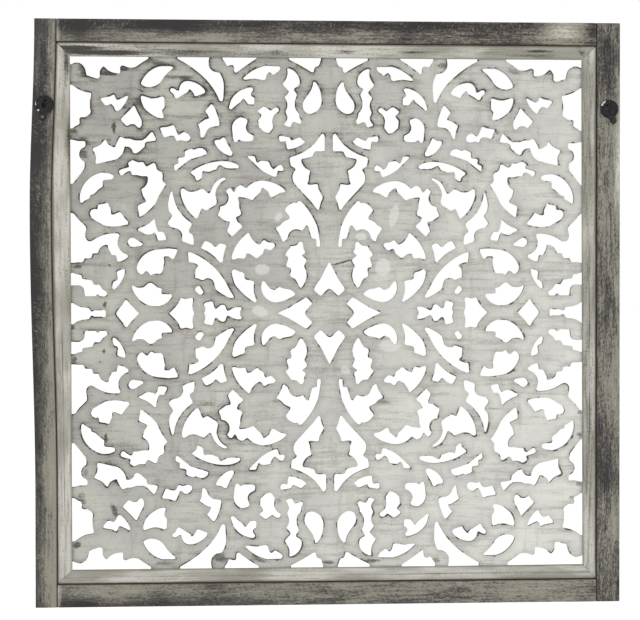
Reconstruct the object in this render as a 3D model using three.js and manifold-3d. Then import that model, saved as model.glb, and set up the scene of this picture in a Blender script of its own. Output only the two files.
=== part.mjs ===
// A square carved wall panel: a fretwork board of scrolled leaves held in a rabbeted frame by four thin
// beads, seen from the side that goes to the wall, with two keyhole plates to hang it by.
// Millimetres. X runs to the right, Y from the wall face into the depth, Z up. The origin is the middle of
// the top rail's wall face, which lies against the wall.
import * as THREE from "three";
import { mergeVertices } from "three/addons/utils/BufferGeometryUtils.js";
import Module from "manifold-3d";

// Overall height; the width is that of the opening and the two upright members
const FRAME_SIDE = 897;
const HALF = FRAME_SIDE / 2;
const FRAME_DEPTH = 25;
// Clearance between pieces that touch
const GAP = 0.3;

// Frame members: the width seen on the wall side, and the lip that holds the board on the display side
const MEMBER_FACE = 35.5;
const LEFT_MEMBER_FACE = 35.4;
const RIGHT_MEMBER_FACE = 39;
const LIP_WIDTH = 10;
const LIP_THICKNESS = 6;
const CORNER_RADIUS = 3;
const RABBET_HALF = HALF - MEMBER_FACE;
const LIP_HALF = RABBET_HALF - LIP_WIDTH;
const LIP_Y = FRAME_DEPTH - LIP_THICKNESS;

// The left stile has bowed outwards: how far, at what height above the middle, and how far the bow reaches
const BOW = 7.6;
const BOW_HEIGHT = 155;
const BOW_REACH_UP = HALF - BOW_HEIGHT;
const BOW_REACH_DOWN = 440;
const BOW_STATIONS = 12;

// Fretwork board
const BOARD_THICKNESS = 9;
const BOARD_HALF = RABBET_HALF - GAP;
const BOARD_BACK_Y = LIP_Y - GAP;
const BOARD_Y = BOARD_BACK_Y - BOARD_THICKNESS;

// Beads that hold the board in the rabbet: a flat outer part and a lower step along the opening
const BEAD_WIDTH = 21;
const BEAD_THICKNESS = 6;
const BEAD_STEP_WIDTH = 7;
const BEAD_STEP_DROP = 2;
const BEAD_BACK_Y = BOARD_Y - GAP;
const BEAD_Y = BEAD_BACK_Y - BEAD_THICKNESS;
const OPENING_HALF = RABBET_HALF - BEAD_WIDTH;

// Keyhole plates, on the stiles near the top, each turned about its middle in degrees
const LEFT_PLATE_OFF_SEAM = 19.9;
const LEFT_PLATE_BELOW_TOP = 130.5;
const RIGHT_PLATE_OFF_SEAM = 21.8;
const RIGHT_PLATE_BELOW_TOP = 133.2;
const PLATE_RADIUS = 13.6;
const PLATE_THICKNESS = 2;
const PLATE_RIM_RADIUS = 1.2;
const EYE_RADIUS = 4.5;
const EYE_SLOT_WIDTH = 4.4;
const EYE_SLOT_REACH = 8;
const LUG_RADIUS = 5;
const LUG_REACH = 18.8;
const LEFT_TURN = -9;
const RIGHT_TURN = 20;
// Pocket bored in the stile behind each plate, for the head of the wall hook
const POCKET_RADIUS = 9;
const POCKET_DEPTH = 9;
// Screw through each lug
const SCREW_RADIUS = 1.5;
const SCREW_HEAD_RADIUS = 3.2;
const SCREW_HEAD_HEIGHT = 1.6;
const SCREW_LENGTH = 12;
// Shoulder of the screw's domed head, as shares of its radius and its height
const HEAD_SHOULDER_OUT = 0.6;
const HEAD_SHOULDER_UP = 0.8;

// The cut-outs are drawn for an opening of this half width and scale with the real one. E is the drawn
// edge of the cut-outs that run on under the beads.
const DRAWN_HALF = 392;
const RUN_UNDER_BEAD = 3;
const E = DRAWN_HALF + RUN_UNDER_BEAD;
// How far a facet may stand off the drawn curve
const CHORD_ERROR = 2.9;
const FINE_CHORD_ERROR = 0.3;
// Facets around the plates and around the small holes and screws
const ROUND_SIDES = 20;
const SMALL_SIDES = 12;
const RIM_SIDES = 5;
const CORNER_STEPS = 4;
// Points closer than this are one
const WELD = 1e-4;
// How far a cutting body passes the face that it cuts through
const OVERSHOOT = 1;

// One quarter of the fretwork, the upper right one. Each cut-out is a closed outline of corners [x, z] in
// millimetres from the middle of the panel, taken anticlockwise. A third number bends the edge that leaves
// the corner into an arc: it is twice the arc's height over its chord, and below zero the leaf swells into
// the cut-out.
const QUARTER = [
  [[61, E], [11, E], [11.5, 390], [14, 382.2], [16.5, 379.3], [20, 379], [21.7, 377], [22.4, 371.5],
    [24.4, 369.8], [27, 370.8, -0.04], [60.5, 389.3]],
  [[162.4, E], [110, E], [110.3, 390.3, -0.035], [141, 368.6], [143.8, 369.6], [144.7, 379], [146, 380.6],
    [149, 380.6], [155, 378.8], [158.2, 384.8], [161.8, 389.2]],
  [[230.4, E], [181.3, E], [181.8, 391, -0.12], [182.6, 380, -0.36], [169, 370.3], [166.3, 369.3, 0.155],
    [160, 347], [160.9, 329.5], [162.3, 324.9], [166.2, 325.2, -0.093], [186.2, 357.3, -0.084],
    [230, 389.3]],
  [[E, E], [274.5, E], [273.7, 390.3], [275, 388.8], [284.5, 382.8], [293.5, 376.2, 0.12], [306, 376],
    [312.5, 378.8, -0.4], [316.9, 374.5], [316.4, 368], [318, 366.2], [327.5, 367.6], [334.5, 370.5],
    [341.5, 377.2, -0.2], [347.7, 368], [347.3, 361.3], [349, 358.6], [353, 358.4], [367.7, 363.5],
    [369.4, 371.5, -0.35], [382, 382.6, -0.12], [391, 379.4], [E, 379.4]],
  [[23.6, 355.8, 0.4], [20, 356, 0.17], [11, 333, 0.417], [27.5, 306.6, 0.44], [39.6, 317, 0.2],
    [37, 328.6], [26.8, 343.2], [24.3, 349.8]],
  [[63.8, 376], [61.5, 377, 0.315], [44, 358, 0.43], [52.2, 346.4], [53, 343.6], [48.2, 336.8],
    [49.3, 333, -0.22], [50, 313.2], [45.3, 307.6], [44.8, 302], [41.8, 296], [42, 293], [44.5, 290.9],
    [53.5, 294.5], [55.7, 293.8], [58.2, 287.4], [60.5, 286], [67.3, 288.5], [68.7, 290.8], [64.8, 295.4],
    [62.9, 301], [66, 308.2], [66, 310.8, -0.33], [67, 330.4], [67.2, 332.6], [61, 339.6], [61.3, 341.6],
    [69.5, 350.3], [70, 352.8], [65.8, 359, -0.22]],
  [[75, 380.2], [73.1, 377], [76.3, 371.5], [81, 368.8], [83.3, 366.1], [86, 366.5], [89.8, 370.2],
    [92, 369.9], [94.8, 366], [96.4, 359.3], [98, 357.8], [103, 358.3], [113, 360.1], [126, 358.3],
    [129.8, 358.5], [130.8, 361, 0.15], [97, 380.6]],
  [[118.5, 347.6], [115.2, 345.3], [115.3, 343], [119, 337.5], [118.6, 334.4], [113.6, 331.4],
    [113.3, 323], [115.3, 320.2], [123.5, 320.8], [126, 324.5], [130.3, 330.2], [134.3, 324.8],
    [145.3, 315.8], [148, 312.9], [150.5, 312.4], [152.8, 314.8], [149.1, 327.3, 0.15], [133.5, 343.2],
    [125, 346.5]],
  [[188, 339.5], [190, 336.8], [199, 333.7], [202, 332.2], [204.6, 333], [206, 337.3], [211.2, 343.3],
    [212.8, 343], [214.8, 338.6], [222.5, 334.5], [229, 330], [231.5, 328.7], [234, 330], [236.5, 335.8],
    [241, 339.3], [242, 342.5], [240, 345.4], [236, 345], [231.3, 341.6], [228.5, 341.2],
    [227.3, 345.5, 0.42], [214, 356.3, 0.2], [190, 344]],
  [[236.4, 376], [238.5, 373.5, -0.11], [255, 354.5, 0.17], [268, 346.6, 0.18], [282, 347.8, 0.25],
    [285.8, 352.5, 0.25], [257, 378.6], [241, 379], [237, 377.6]],
  [[253, 332.8], [250.4, 330.5], [249.8, 315.2], [253.9, 310.8], [253.4, 306.5], [251.2, 300.6],
    [253.5, 298.3], [260.5, 299.3, 0.1], [279.5, 312.5, 0.13], [286.2, 331], [285, 333.8], [280.2, 332.3],
    [270, 329.2], [262, 329.9]],
  [[307.5, 333.4], [305.3, 332.3], [305.2, 329.8], [309.2, 321.3], [315, 313.2], [320.4, 308.9],
    [322.8, 308.8], [325, 311.2], [326.8, 316], [330.5, 320.1], [335.2, 317.8], [339.5, 317.5],
    [346.6, 326.5], [346.3, 329.7], [333, 331.8], [327, 335], [325.3, 333.5], [323.5, 327.8],
    [321.3, 326.4], [313, 330.2]],
  [[297.5, 318], [295.5, 317.5], [291.8, 308.8], [286, 298.2, 0.2], [285.5, 286], [287.5, 283.6],
    [290.5, 284.2], [295.5, 289.3], [301.5, 289.4], [306.2, 286.3], [308.7, 287.2], [316.4, 296],
    [315.8, 298.8], [303, 311.3]],
  [[E, 350], [389.5, 349.4, -0.13], [370, 338.7], [361.5, 337.2], [360.2, 335], [362.5, 324],
    [362.5, 312.5], [361.2, 308], [362.5, 304.7], [369.5, 299.4], [376.8, 299.5], [378.8, 296.5],
    [377.9, 290.5], [380.3, 287.4], [383.8, 286.4], [389, 282.3], [E, 282]],
  [[81, 317.1], [77.2, 316], [75.6, 312.2], [77.5, 309.3, -0.29], [86.3, 295], [85, 285], [91.5, 276.6],
    [94, 277], [101, 279.8], [104, 283.9], [106.7, 285], [108, 296.5], [103, 303], [103.2, 305.3],
    [108, 308.8], [108.6, 311.6], [100.5, 318], [97.5, 318], [88.7, 311.5], [83.5, 316]],
  [[134.5, 301.5], [126, 299.2], [124.2, 297], [124.3, 293.8], [126.5, 288.5, -0.4], [119, 275.5],
    [115.5, 273.5], [114.9, 267.5], [118, 264.3], [128, 263.6], [133.5, 264.3], [137.5, 267],
    [140.7, 262.8], [144, 262.4], [146.3, 267.5], [147.5, 280.5, 0.4]],
  [[179.5, 321.2], [177, 320.3], [173.5, 314.5], [168, 298.3], [166.8, 290], [168.3, 287.3],
    [174, 286.5, -0.36], [188.5, 274.5], [191.5, 269.2], [195.5, 269.1], [196.6, 281.5], [199.8, 289.8],
    [188.8, 297.6], [182.4, 299], [184.5, 304.3], [189, 310.3]],
  [[238.3, 288.8], [236, 288], [229.8, 273.4], [228, 273.6], [223, 277.8], [219.8, 278.3], [214.2, 275.2],
    [211.2, 270.5], [211.2, 266.8], [214, 264.3], [218, 263.5], [226, 265.5], [231, 263.4], [233, 265.3],
    [235.5, 271], [238, 272.1], [243.5, 271.6], [250.5, 268.9], [252, 270.8], [257.3, 283.3],
    [255.5, 285.1], [245.5, 286]],
  [[74.5, 273.5], [60, 271], [57.8, 266], [55.5, 266.3], [45.5, 271], [42.7, 270.6], [40.3, 267.2],
    [36.5, 265.5], [36.7, 263], [43.3, 257.8], [52.4, 253.7], [62, 251.8], [64.6, 253.5], [65.4, 262],
    [67, 265.3], [69.5, 263.5], [74, 263.6], [76.5, 267], [76.5, 271.5]],
  [[161.5, 270.3], [159, 269.9], [154.8, 260.5], [147.4, 247], [147.6, 243], [149.8, 241.6],
    [153.5, 242.2, 0.195], [174.4, 261], [175, 264.5], [173, 266.3], [167, 266.5]],
  [[10.5, 276.8], [8, 276.6], [6, 273], [6, 251], [7.5, 249.1], [21, 249.2], [22.8, 247.5], [25, 241.5],
    [35, 238.5], [41.5, 237.8], [42.5, 235.5, -0.275], [30, 220.4], [28.3, 218.8], [30.6, 212],
    [31, 204.5], [33.5, 199], [31.5, 197.9], [27, 197.8], [18.5, 199.2], [16.8, 197.5], [16.3, 192],
    [9.2, 178.5], [12.7, 170.5], [15.2, 160], [16.8, 158.4], [18.8, 159.7], [26, 169.6],
    [52.4, 198.3, 0.35], [52.5, 218.8], [51, 220.5], [52.8, 223.4], [58.5, 226.5], [60.5, 238.5],
    [58.5, 240.6, -0.15], [20.5, 262.8]],
  [[123, 242.2], [113.5, 241.6], [110.8, 232.3], [108.5, 231.3], [104.5, 234.8], [100, 234.7],
    [92, 233.3], [88.5, 224.8], [84.6, 221.3], [79.5, 226], [75, 228.5], [72.2, 228.4], [69.1, 221.8],
    [71.5, 218.2], [78.3, 219.3], [80.5, 210.6], [82.8, 209.4, 0.09], [106, 221.9], [124.3, 239.8]],
  [[186, 244.5], [188, 243.4], [213, 235.3], [231, 220.7], [233.8, 218.3], [235.8, 220.3],
    [236.5, 226.5], [235, 228.5], [229.8, 230.3], [229.5, 232.8], [230.6, 237], [229, 238.8],
    [221.3, 239.7], [219.6, 242], [220.1, 248.3], [217.5, 250], [210.5, 253], [206, 250.9],
    [199.5, 253.8], [193.5, 253.7], [188, 250.1]],
  [[137, 225], [139.3, 222.6], [150, 222.2], [157.5, 222.8], [167.1, 228], [170.3, 225.1], [171.8, 220.8],
    [176, 219.8], [182, 217], [189.5, 217.4], [191.3, 218.8], [193, 217.5], [194.2, 212.5],
    [193.8, 208.8], [198, 204.5], [201, 203.4], [203.2, 203.9], [204.3, 209.5], [211, 214.8],
    [211.2, 216.8, 0.15], [165, 233.8, 0.15], [139.5, 228.5]],
  [[270.5, 278], [268.3, 277.8], [263.5, 267], [263.8, 264.2], [278, 262.3], [280.2, 260],
    [280.3, 255.3], [289.5, 246.7], [294.5, 244.4], [298, 245.6], [299.8, 250.8], [303.5, 254.4],
    [310.8, 255.3], [311.5, 252, 0.26], [325, 234.9], [343, 230.8], [352.5, 228.4], [355.2, 229.8],
    [355.4, 233, -0.245], [358.4, 248.7], [359.5, 251], [358.5, 253.3], [352.5, 255.6], [346.5, 259.2],
    [341.5, 265.4], [339.5, 265.9], [336.1, 258.7], [329, 254.8], [325.5, 254.2], [324, 259],
    [318.5, 269.6], [316.5, 270.4], [310, 267.6], [304, 267.8], [296, 265], [284.5, 265], [279, 268.5]],
  [[E, 266], [389, 265.5], [382, 263.6], [371, 263.7], [369.6, 261], [369.5, 256], [371, 253.8, -0.73],
    [371.5, 232], [370.8, 227], [371.8, 220.5], [388.5, 198.8], [390, 197.6], [E, 199]],
  [[265, 230], [262.3, 220.7], [259.5, 218.3], [255, 216.8], [253.2, 211], [254.2, 205], [252.8, 202],
    [248.2, 197.5, -0.07], [264.4, 168.5, 0.08], [287, 148], [289.4, 148], [291.9, 164.5], [290.5, 166],
    [280, 170.8], [278.8, 172.8], [283.5, 180], [286.2, 190.5, -0.24], [276.2, 203], [276, 208.5],
    [277.3, 210.1], [285, 209.8], [292.5, 211.7], [299.8, 211.4], [302, 217.5], [304.5, 217.8],
    [309, 215.5], [314.5, 210.9], [316.8, 211.2], [320, 216], [319.3, 219.2], [315.5, 221], [305, 223.8],
    [304.2, 225.8], [306, 229], [305.3, 231.2], [299.5, 235], [291, 231.5], [283, 232], [279.5, 225.8],
    [277.5, 225], [268, 230.6]],
  [[159.5, 208.8], [157.7, 207.5], [158.5, 204.9, -0.26], [173.9, 183], [171.4, 171], [173.5, 166.5],
    [184, 160], [186.8, 157.8], [189.2, 158.2], [194.4, 161.2], [195.5, 159.5], [200.3, 147.5],
    [202, 145.4], [204.3, 146.2, 0.19], [226.4, 184], [226.2, 190], [224.3, 192], [221.5, 191.5],
    [216.5, 187.8, -0.24], [199.5, 189.5], [194, 191.3], [191.5, 190.8], [185.5, 184.7], [182.3, 184.2],
    [178.5, 193, 0.22], [162.5, 208.5]],
  [[66.8, 188], [68.5, 186], [76, 184.8], [86.5, 178.4], [89, 178.2], [91.3, 181], [93, 186.5],
    [101.5, 193.5], [103.3, 192], [104.8, 186.5], [112, 179.8], [116.7, 174.2], [119, 174], [125, 177],
    [138.5, 178.7], [139.6, 176.5], [137.6, 171], [137.4, 162], [134.3, 154], [135.5, 150.8],
    [142.9, 147.5], [140.5, 141], [133.2, 135], [133.2, 132.5], [148, 118.1], [150, 118.3], [156.3, 126.5],
    [151.6, 138.5], [152.7, 141.2], [158.5, 141.6], [170, 150], [169.8, 152.5], [167, 158.5],
    [166.3, 164.3], [161, 165.4, -0.44], [155.5, 184.2], [157.4, 186], [156.8, 188.8], [153, 192.8],
    [150, 192.2], [146, 186.3], [144.2, 187], [141.8, 193.5], [135.7, 197.4], [131, 195.3], [127.3, 192.2],
    [125.5, 193, 0.23], [101.5, 204.2, 0.157], [69, 191.5]],
  [[241.3, 187], [239.3, 187.3], [237.6, 178.5, -0.2], [212.5, 140.3], [209.9, 138], [210, 135.2],
    [214.3, 127.5], [213.8, 124], [208.7, 121], [207, 113.5], [206.8, 106.5], [208.8, 104.8],
    [223.5, 110.2], [225.1, 112.5], [224.2, 120, -0.25], [231.5, 129.7], [242, 132.5], [246.2, 137.5],
    [246, 140], [239.7, 149.2], [240.2, 151.8], [244.8, 157.2], [245.9, 166, 0.08]],
  [[47, 173], [43.5, 172.8, 0.115], [17.8, 132], [13.7, 109], [13.7, 103.3], [15.3, 101.9],
    [18.3, 101.9], [19.8, 103.8], [20, 114], [26, 115], [27.6, 117], [31.6, 131.5], [32.8, 134.7],
    [35.3, 135.4], [41.3, 126.7], [46, 128.3, -0.43], [62.6, 120.5], [64.5, 114.5], [70, 109.9],
    [72, 110.3], [74.6, 118.5], [82, 130.8], [81, 132.2], [75, 135.2], [70.5, 140.5], [66, 143],
    [60.5, 145.3], [61.3, 149.5], [67.6, 157.5], [67.3, 160, 0.21], [53, 170.6], [49.4, 169.4]],
  [[327.5, 209], [328.5, 206], [331, 204.8], [343, 203.8], [344.5, 201], [343.9, 194], [350.5, 189.5],
    [357.5, 182.2], [362.3, 181.2], [363.8, 179.5], [363.5, 176.5], [371.5, 172.3], [375.2, 168.8],
    [377.3, 168.6], [379, 171.5], [379.3, 178, 0.343], [346, 215.6], [336, 214.9], [328.8, 212]],
  [[305.5, 139], [307.3, 135.6], [314, 134.8, 0.128], [343, 134.9], [361.5, 146], [364.4, 153],
    [362.5, 157.8], [357.5, 160.2], [353.5, 159.2], [352, 161.5], [352.2, 165.6], [350, 166.9],
    [342, 167.9], [338.3, 169.7], [336.5, 168.7], [332, 158.5], [332.1, 151.6], [328.5, 151.2],
    [320, 155.2], [317.5, 154.8], [312.5, 147.5]],
  [[268, 144.5], [266, 144.7], [264.3, 134], [261.3, 125.7], [258.8, 125], [255.5, 126], [252.8, 124.2],
    [248.5, 115.5], [249.5, 112.6], [256, 111.6], [261.5, 111.8], [263.6, 120], [266.3, 124.4],
    [270, 121.5], [276, 120.5], [281.5, 121.8], [286, 125], [291.8, 127.3], [291.9, 129.6], [282, 133.6],
    [273.8, 138.7]],
  [[83, 105.5], [83.3, 103], [89, 97], [92.5, 96.7], [97, 99.2], [99, 99.3], [102, 91], [107.2, 87.8],
    [110, 84.6], [112.5, 84.6], [121, 91], [125.8, 92.2], [127.4, 90.8], [128.2, 86], [130.5, 83.8],
    [138.5, 85], [146.5, 82.3], [149.3, 83.3], [149.2, 87.5, 0.127], [134, 115], [124.8, 123.6],
    [122.5, 123.5], [119.8, 116.3], [114, 109.3], [107.8, 105.4], [105.3, 106.2], [101.5, 112],
    [99, 112.6], [94.3, 109.2], [86, 108.3]],
  [[157.4, 103.5], [160.8, 93.5], [163.2, 79], [165.3, 77.8], [168, 78.7, -0.14], [195.5, 99.5],
    [195.8, 101.5], [190.8, 110.5], [188, 111.2], [180, 107.3], [175, 101.6], [173, 102], [168.2, 107.2],
    [164.5, 107.3], [158.8, 105.5]],
  [[E, 153.8], [390, 153.8], [387, 151.6], [381, 143.7], [370.2, 133.3], [369.3, 129.5], [371.1, 119.5],
    [370.4, 115], [367.5, 111], [363.5, 110.2], [359, 112.4, 0.143], [330, 122.7], [321.5, 122.6],
    [319.4, 120.3], [320, 117.5, -0.49], [308, 90.2], [306.4, 88], [307, 85.7], [312.5, 81.8],
    [318.5, 79.6], [322.5, 79.5], [323.8, 81.5], [325, 89.2], [331.8, 89.5], [337, 100],
    [337.4, 105.3, -0.385], [351.5, 93], [352.8, 92], [360, 92], [361.8, 85], [369.5, 84], [371.5, 85.1],
    [374, 79.5], [376, 78.3], [384, 78.3], [389, 77.3], [E, 77.8]],
  [[283.8, 106.5], [286, 103.5], [300.5, 101.6, 0.27], [307.3, 109.5, 0.36], [301, 116.4], [297, 115.3]],
  [[233, 98.5], [231.8, 96], [236.7, 84.3], [238.8, 83], [241, 84], [244.5, 87.3], [251.5, 87.5],
    [252.8, 86], [251.6, 79], [254.6, 64.5], [257, 60.8], [267, 61], [271.5, 58.3], [274, 59.3],
    [276.8, 63.8], [279.3, 65.2], [285, 59.8], [288, 59.8], [293, 64.5], [294.2, 70, 0.33], [262, 98],
    [246, 99.7]],
  [[146, 25], [148, 22.9], [152.5, 23.7, 0.07], [174, 36.8], [176.8, 48.2, -0.43], [190, 53], [192.5, 51],
    [196, 51.2], [199.5, 53.2], [205.2, 54.5], [205, 64], [204, 69], [199.8, 72.5], [200.8, 74.7],
    [207.5, 77.8], [214.7, 78.5], [215.3, 86], [216.3, 92.3], [215, 93.9], [212, 93.7, 0.2], [154.4, 39]],
  [[45, 110.4], [42, 110.2], [40, 108], [39.3, 99], [36.7, 95], [37.8, 92], [42, 89.2], [41.5, 87.6],
    [35.5, 83.6], [34.6, 80], [39, 72.8], [35.8, 65.5], [34.6, 57.5], [36.5, 49.5], [41.5, 40.2],
    [43.5, 38.9], [46, 39.6], [49.5, 47.5], [53, 53], [59.5, 56.2], [60.5, 58.5], [58.6, 66],
    [59.3, 69.6], [65.5, 71.2], [66.1, 74.5], [63.1, 83.5], [63.6, 86.3], [67.5, 89.2], [67.3, 91.5],
    [61.5, 99], [59.3, 103.3], [52, 103.8], [49, 105.5]],
  [[111.3, 18.5], [113, 16.4], [116, 17.5, 0.1], [144.4, 44, 0.07], [149.4, 63], [148.3, 66.3],
    [145.5, 67.6], [137.5, 64], [131.5, 62.5], [130, 60.5], [130.2, 54.5], [127.5, 51.5], [117.5, 49.8],
    [115, 48, -0.15], [113.5, 24.5]],
  [[51.8, 29.3], [54, 26.8], [66, 20.5, 0.06], [82, 16.4, 0.42], [104.5, 42], [103.3, 48.8],
    [100, 49.5], [91, 38], [84.5, 35.2], [78, 39.9], [75.5, 40], [70.5, 37.8], [60, 36.2], [54.5, 32.7]],
  [[198, 41.7], [192.6, 33], [192.6, 31], [196, 28.8], [199.3, 28.7], [205.8, 35.5], [204.5, 39.3],
    [201, 42]],
  [[241, 29.3], [240.4, 26, 0.25], [262, 11], [274, 11.8, 0.24], [300.8, 38], [301.5, 42],
    [300.3, 43.4], [294.5, 39.8], [289, 39.2], [283.5, 40], [276.5, 46.2], [272.5, 47.1], [268.5, 45.3],
    [263, 40.2], [255.7, 37.7], [256.8, 31.5], [254.8, 29.5]],
  [[313.5, 68.3], [311.3, 66.5], [311.6, 62, 0.16], [327, 37.2], [328.5, 36.7], [331.2, 38.5],
    [330.5, 45], [328.8, 48.9], [323.5, 51], [322.6, 54], [324.1, 62], [323.3, 64.9]],
  [[E, 61.5], [390, 62.3], [383, 59.6], [377.5, 59.3], [376.5, 57.5], [376.2, 53.5], [374.5, 52.6],
    [361.5, 50.8], [358, 43.7], [351, 44.4], [349, 43], [345, 36.8], [339, 33], [338.2, 30.5],
    [340.5, 26.4], [349.8, 26.4], [353.2, 30], [356, 26.4], [372.6, 26.6], [373.8, 37, -0.35],
    [384, 43.4], [E, 42.8]],
];
// Right halves of the cut-outs that lie on the upright middle line, and upper halves of those on the level one
const ON_VERTICAL_AXIS = [
  [[0, 37.8], [3, 36.5], [12.5, 26.9], [14.8, 26.8], [23.3, 34.7], [23.8, 38.3], [13, 54], [6, 68.5],
    [0, 79.8]],
];
const ON_HORIZONTAL_AXIS = [
  [[79.8, 0], [62, 8.3], [38.5, 22.8], [35.8, 24], [33.5, 22.8], [26.4, 15], [26.6, 13.8], [36, 3.8],
    [37.5, 0]],
  [[191.7, 0], [189.8, 5], [190, 8.5], [192.3, 13.3], [190.5, 16.2], [181, 18.5], [178.3, 17.7],
    [176.3, 9.3], [174.7, 6.6], [173, 6.8], [166.5, 12.7], [162, 13.2], [159.6, 11.5], [157.5, 5],
    [155.5, 3.4], [147, 8], [140.5, 9.6], [135.3, 9.3], [134.2, 7], [137, 2.5], [136.6, 0]],
  [[245, 0], [236, 8.8], [230.5, 16], [228, 22.8], [225.5, 23.6], [219.5, 21.7], [212, 23.9],
    [208, 22.5], [209.5, 14], [209.3, 7.5], [206.8, 0]],
  [[325.3, 0], [323.5, 4], [315.5, 13.8], [312, 20.3], [310, 21.3], [308, 20], [302, 12.2],
    [290.3, 0]],
  [[E, 0], [E, 16], [390.5, 16.5], [384.5, 12.4], [378, 9.8], [366, 8.5], [362.8, 3], [361, 3],
    [358.5, 4.8], [347, 4.7], [344.5, 5.8], [341.7, 5.4], [340.3, 3], [340.6, 0]],
];

const toRadians = THREE.MathUtils.degToRad;

// Points of one edge, from its first corner up to but without its last
function edgePoints([ax, az, bend = 0], [bx, bz]) {
  const chord = Math.hypot(bx - ax, bz - az);
  const height = Math.abs(bend) * chord / 2;
  if (height < FINE_CHORD_ERROR) {
    return [new THREE.Vector2(ax, az)];
  }
  const steps = Math.ceil(Math.sqrt(height / FINE_CHORD_ERROR));
  const sweep = 4 * Math.atan(bend);
  const radius = chord / (2 * Math.sin(sweep / 2));
  const toCentre = radius * Math.cos(sweep / 2) / chord;
  const centre = new THREE.Vector2(
    (ax + bx) / 2 - (bz - az) * toCentre,
    (az + bz) / 2 + (bx - ax) * toCentre,
  );
  return Array.from({ length: steps }, (_, k) =>
    new THREE.Vector2(ax, az).rotateAround(centre, sweep * k / steps));
}

// Distance of a point from the line through two others
function offLine(point, start, end) {
  const along = end.clone().sub(start);
  const length = along.length();
  const to = point.clone().sub(start);
  return length ? Math.abs(along.cross(to)) / length : to.length();
}

// An open run of points with those left out that stand less than the chord error off it
function thinned(points) {
  const last = points.length - 1;
  const offs = points.map((p) => offLine(p, points[0], points[last]));
  const far = offs.indexOf(Math.max(...offs));
  if (last < 2 || offs[far] < CHORD_ERROR) {
    return [points[0], points[last]];
  }
  return [...thinned(points.slice(0, far + 1)).slice(0, -1), ...thinned(points.slice(far))];
}

// A closed outline thinned from its first point and the point farthest from that one
function thinnedLoop(points) {
  const reach = points.map((p) => p.distanceTo(points[0]));
  const far = reach.indexOf(Math.max(...reach));
  const out = thinned(points.slice(0, far + 1)).slice(0, -1);
  const back = thinned([...points.slice(far), points[0]]).slice(0, -1);
  return [...out, ...back];
}

const bent = (corners) => corners.flatMap((corner, i) =>
  edgePoints(corner, corners[(i + 1) % corners.length]));

const straight = (corners) => corners.map(([x, z]) => new THREE.Vector2(x, z));

const mirrored = (points, signX, signZ) =>
  points.map((p) => new THREE.Vector2(p.x * signX, p.y * signZ));

// All cut-outs of the board, at the size of the real opening
function cutOuts() {
  const scale = OPENING_HALF / DRAWN_HALF;
  const both = [1, -1];
  const quarters = QUARTER.map((corners) => thinnedLoop(bent(corners)))
    .flatMap((loop) => both.flatMap((sx) => both.map((sz) => mirrored(loop, sx, sz))));
  const upright = ON_VERTICAL_AXIS.map((corners) => thinned(straight(corners)))
    .map((half) => [...half, ...mirrored(half, -1, 1).slice(1, -1).reverse()])
    .flatMap((loop) => both.map((sz) => mirrored(loop, 1, sz)));
  const level = ON_HORIZONTAL_AXIS.map((corners) => thinned(straight(corners)))
    .map((half) => [...half, ...mirrored(half, 1, -1).slice(1, -1).reverse()])
    .flatMap((loop) => both.map((sx) => mirrored(loop, sx, 1)));
  return [...quarters, ...upright, ...level].map((loop) =>
    loop.map((p) => p.clone().multiplyScalar(scale)));
}

// How far the left stile stands out at a height above the middle: a squared cosine about the bow's height
function bow(height) {
  const rise = height - BOW_HEIGHT;
  const part = rise / (rise > 0 ? BOW_REACH_UP : BOW_REACH_DOWN);
  return Math.abs(part) < 1 ? BOW * Math.cos(part * Math.PI / 2) ** 2 : 0;
}

// Heights along the left side from one end to the other
const stations = (from, to) => Array.from({ length: BOW_STATIONS + 1 }, (_, k) =>
  from + (to - from) * k / BOW_STATIONS);

// A flat layer: an outline in x and height, from one depth to another
function layer(outline, fromY, toY) {
  const geometry = new THREE.ExtrudeGeometry(new THREE.Shape(outline), {
    depth: toY - fromY,
    bevelEnabled: false,
    steps: 1,
  });
  // The extrusion runs along Z: turned so that it runs back along Y, with the outline upright
  return geometry.rotateX(Math.PI / 2).translate(0, toY, 0);
}

const rectangle = (x0, x1, z0, z1) => [
  new THREE.Vector2(x0, z0),
  new THREE.Vector2(x1, z0),
  new THREE.Vector2(x1, z1),
  new THREE.Vector2(x0, z1),
];

const wasm = await Module();
wasm.setup();

// A closed geometry as a solid for joining and cutting
function solid(geometry) {
  geometry.deleteAttribute("normal");
  geometry.deleteAttribute("uv");
  const merged = mergeVertices(geometry, WELD);
  return new wasm.Manifold(new wasm.Mesh({
    numProp: 3,
    vertProperties: merged.attributes.position.array,
    triVerts: new Uint32Array(merged.index.array),
  }));
}

// A solid back as a geometry
function geometryOf(body) {
  const mesh = body.getMesh();
  const geometry = new THREE.BufferGeometry();
  geometry.setAttribute("position", new THREE.BufferAttribute(new Float32Array(mesh.vertProperties), 3));
  geometry.setIndex(new THREE.BufferAttribute(new Uint32Array(mesh.triVerts), 1));
  return geometry;
}

// A round bar along Y about a point in x and height, from one depth to another
function round(radius, x, height, fromY, toY, sides = ROUND_SIDES) {
  return new THREE.CylinderGeometry(radius, radius, toY - fromY, sides)
    .translate(x, (fromY + toY) / 2, height);
}

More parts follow.
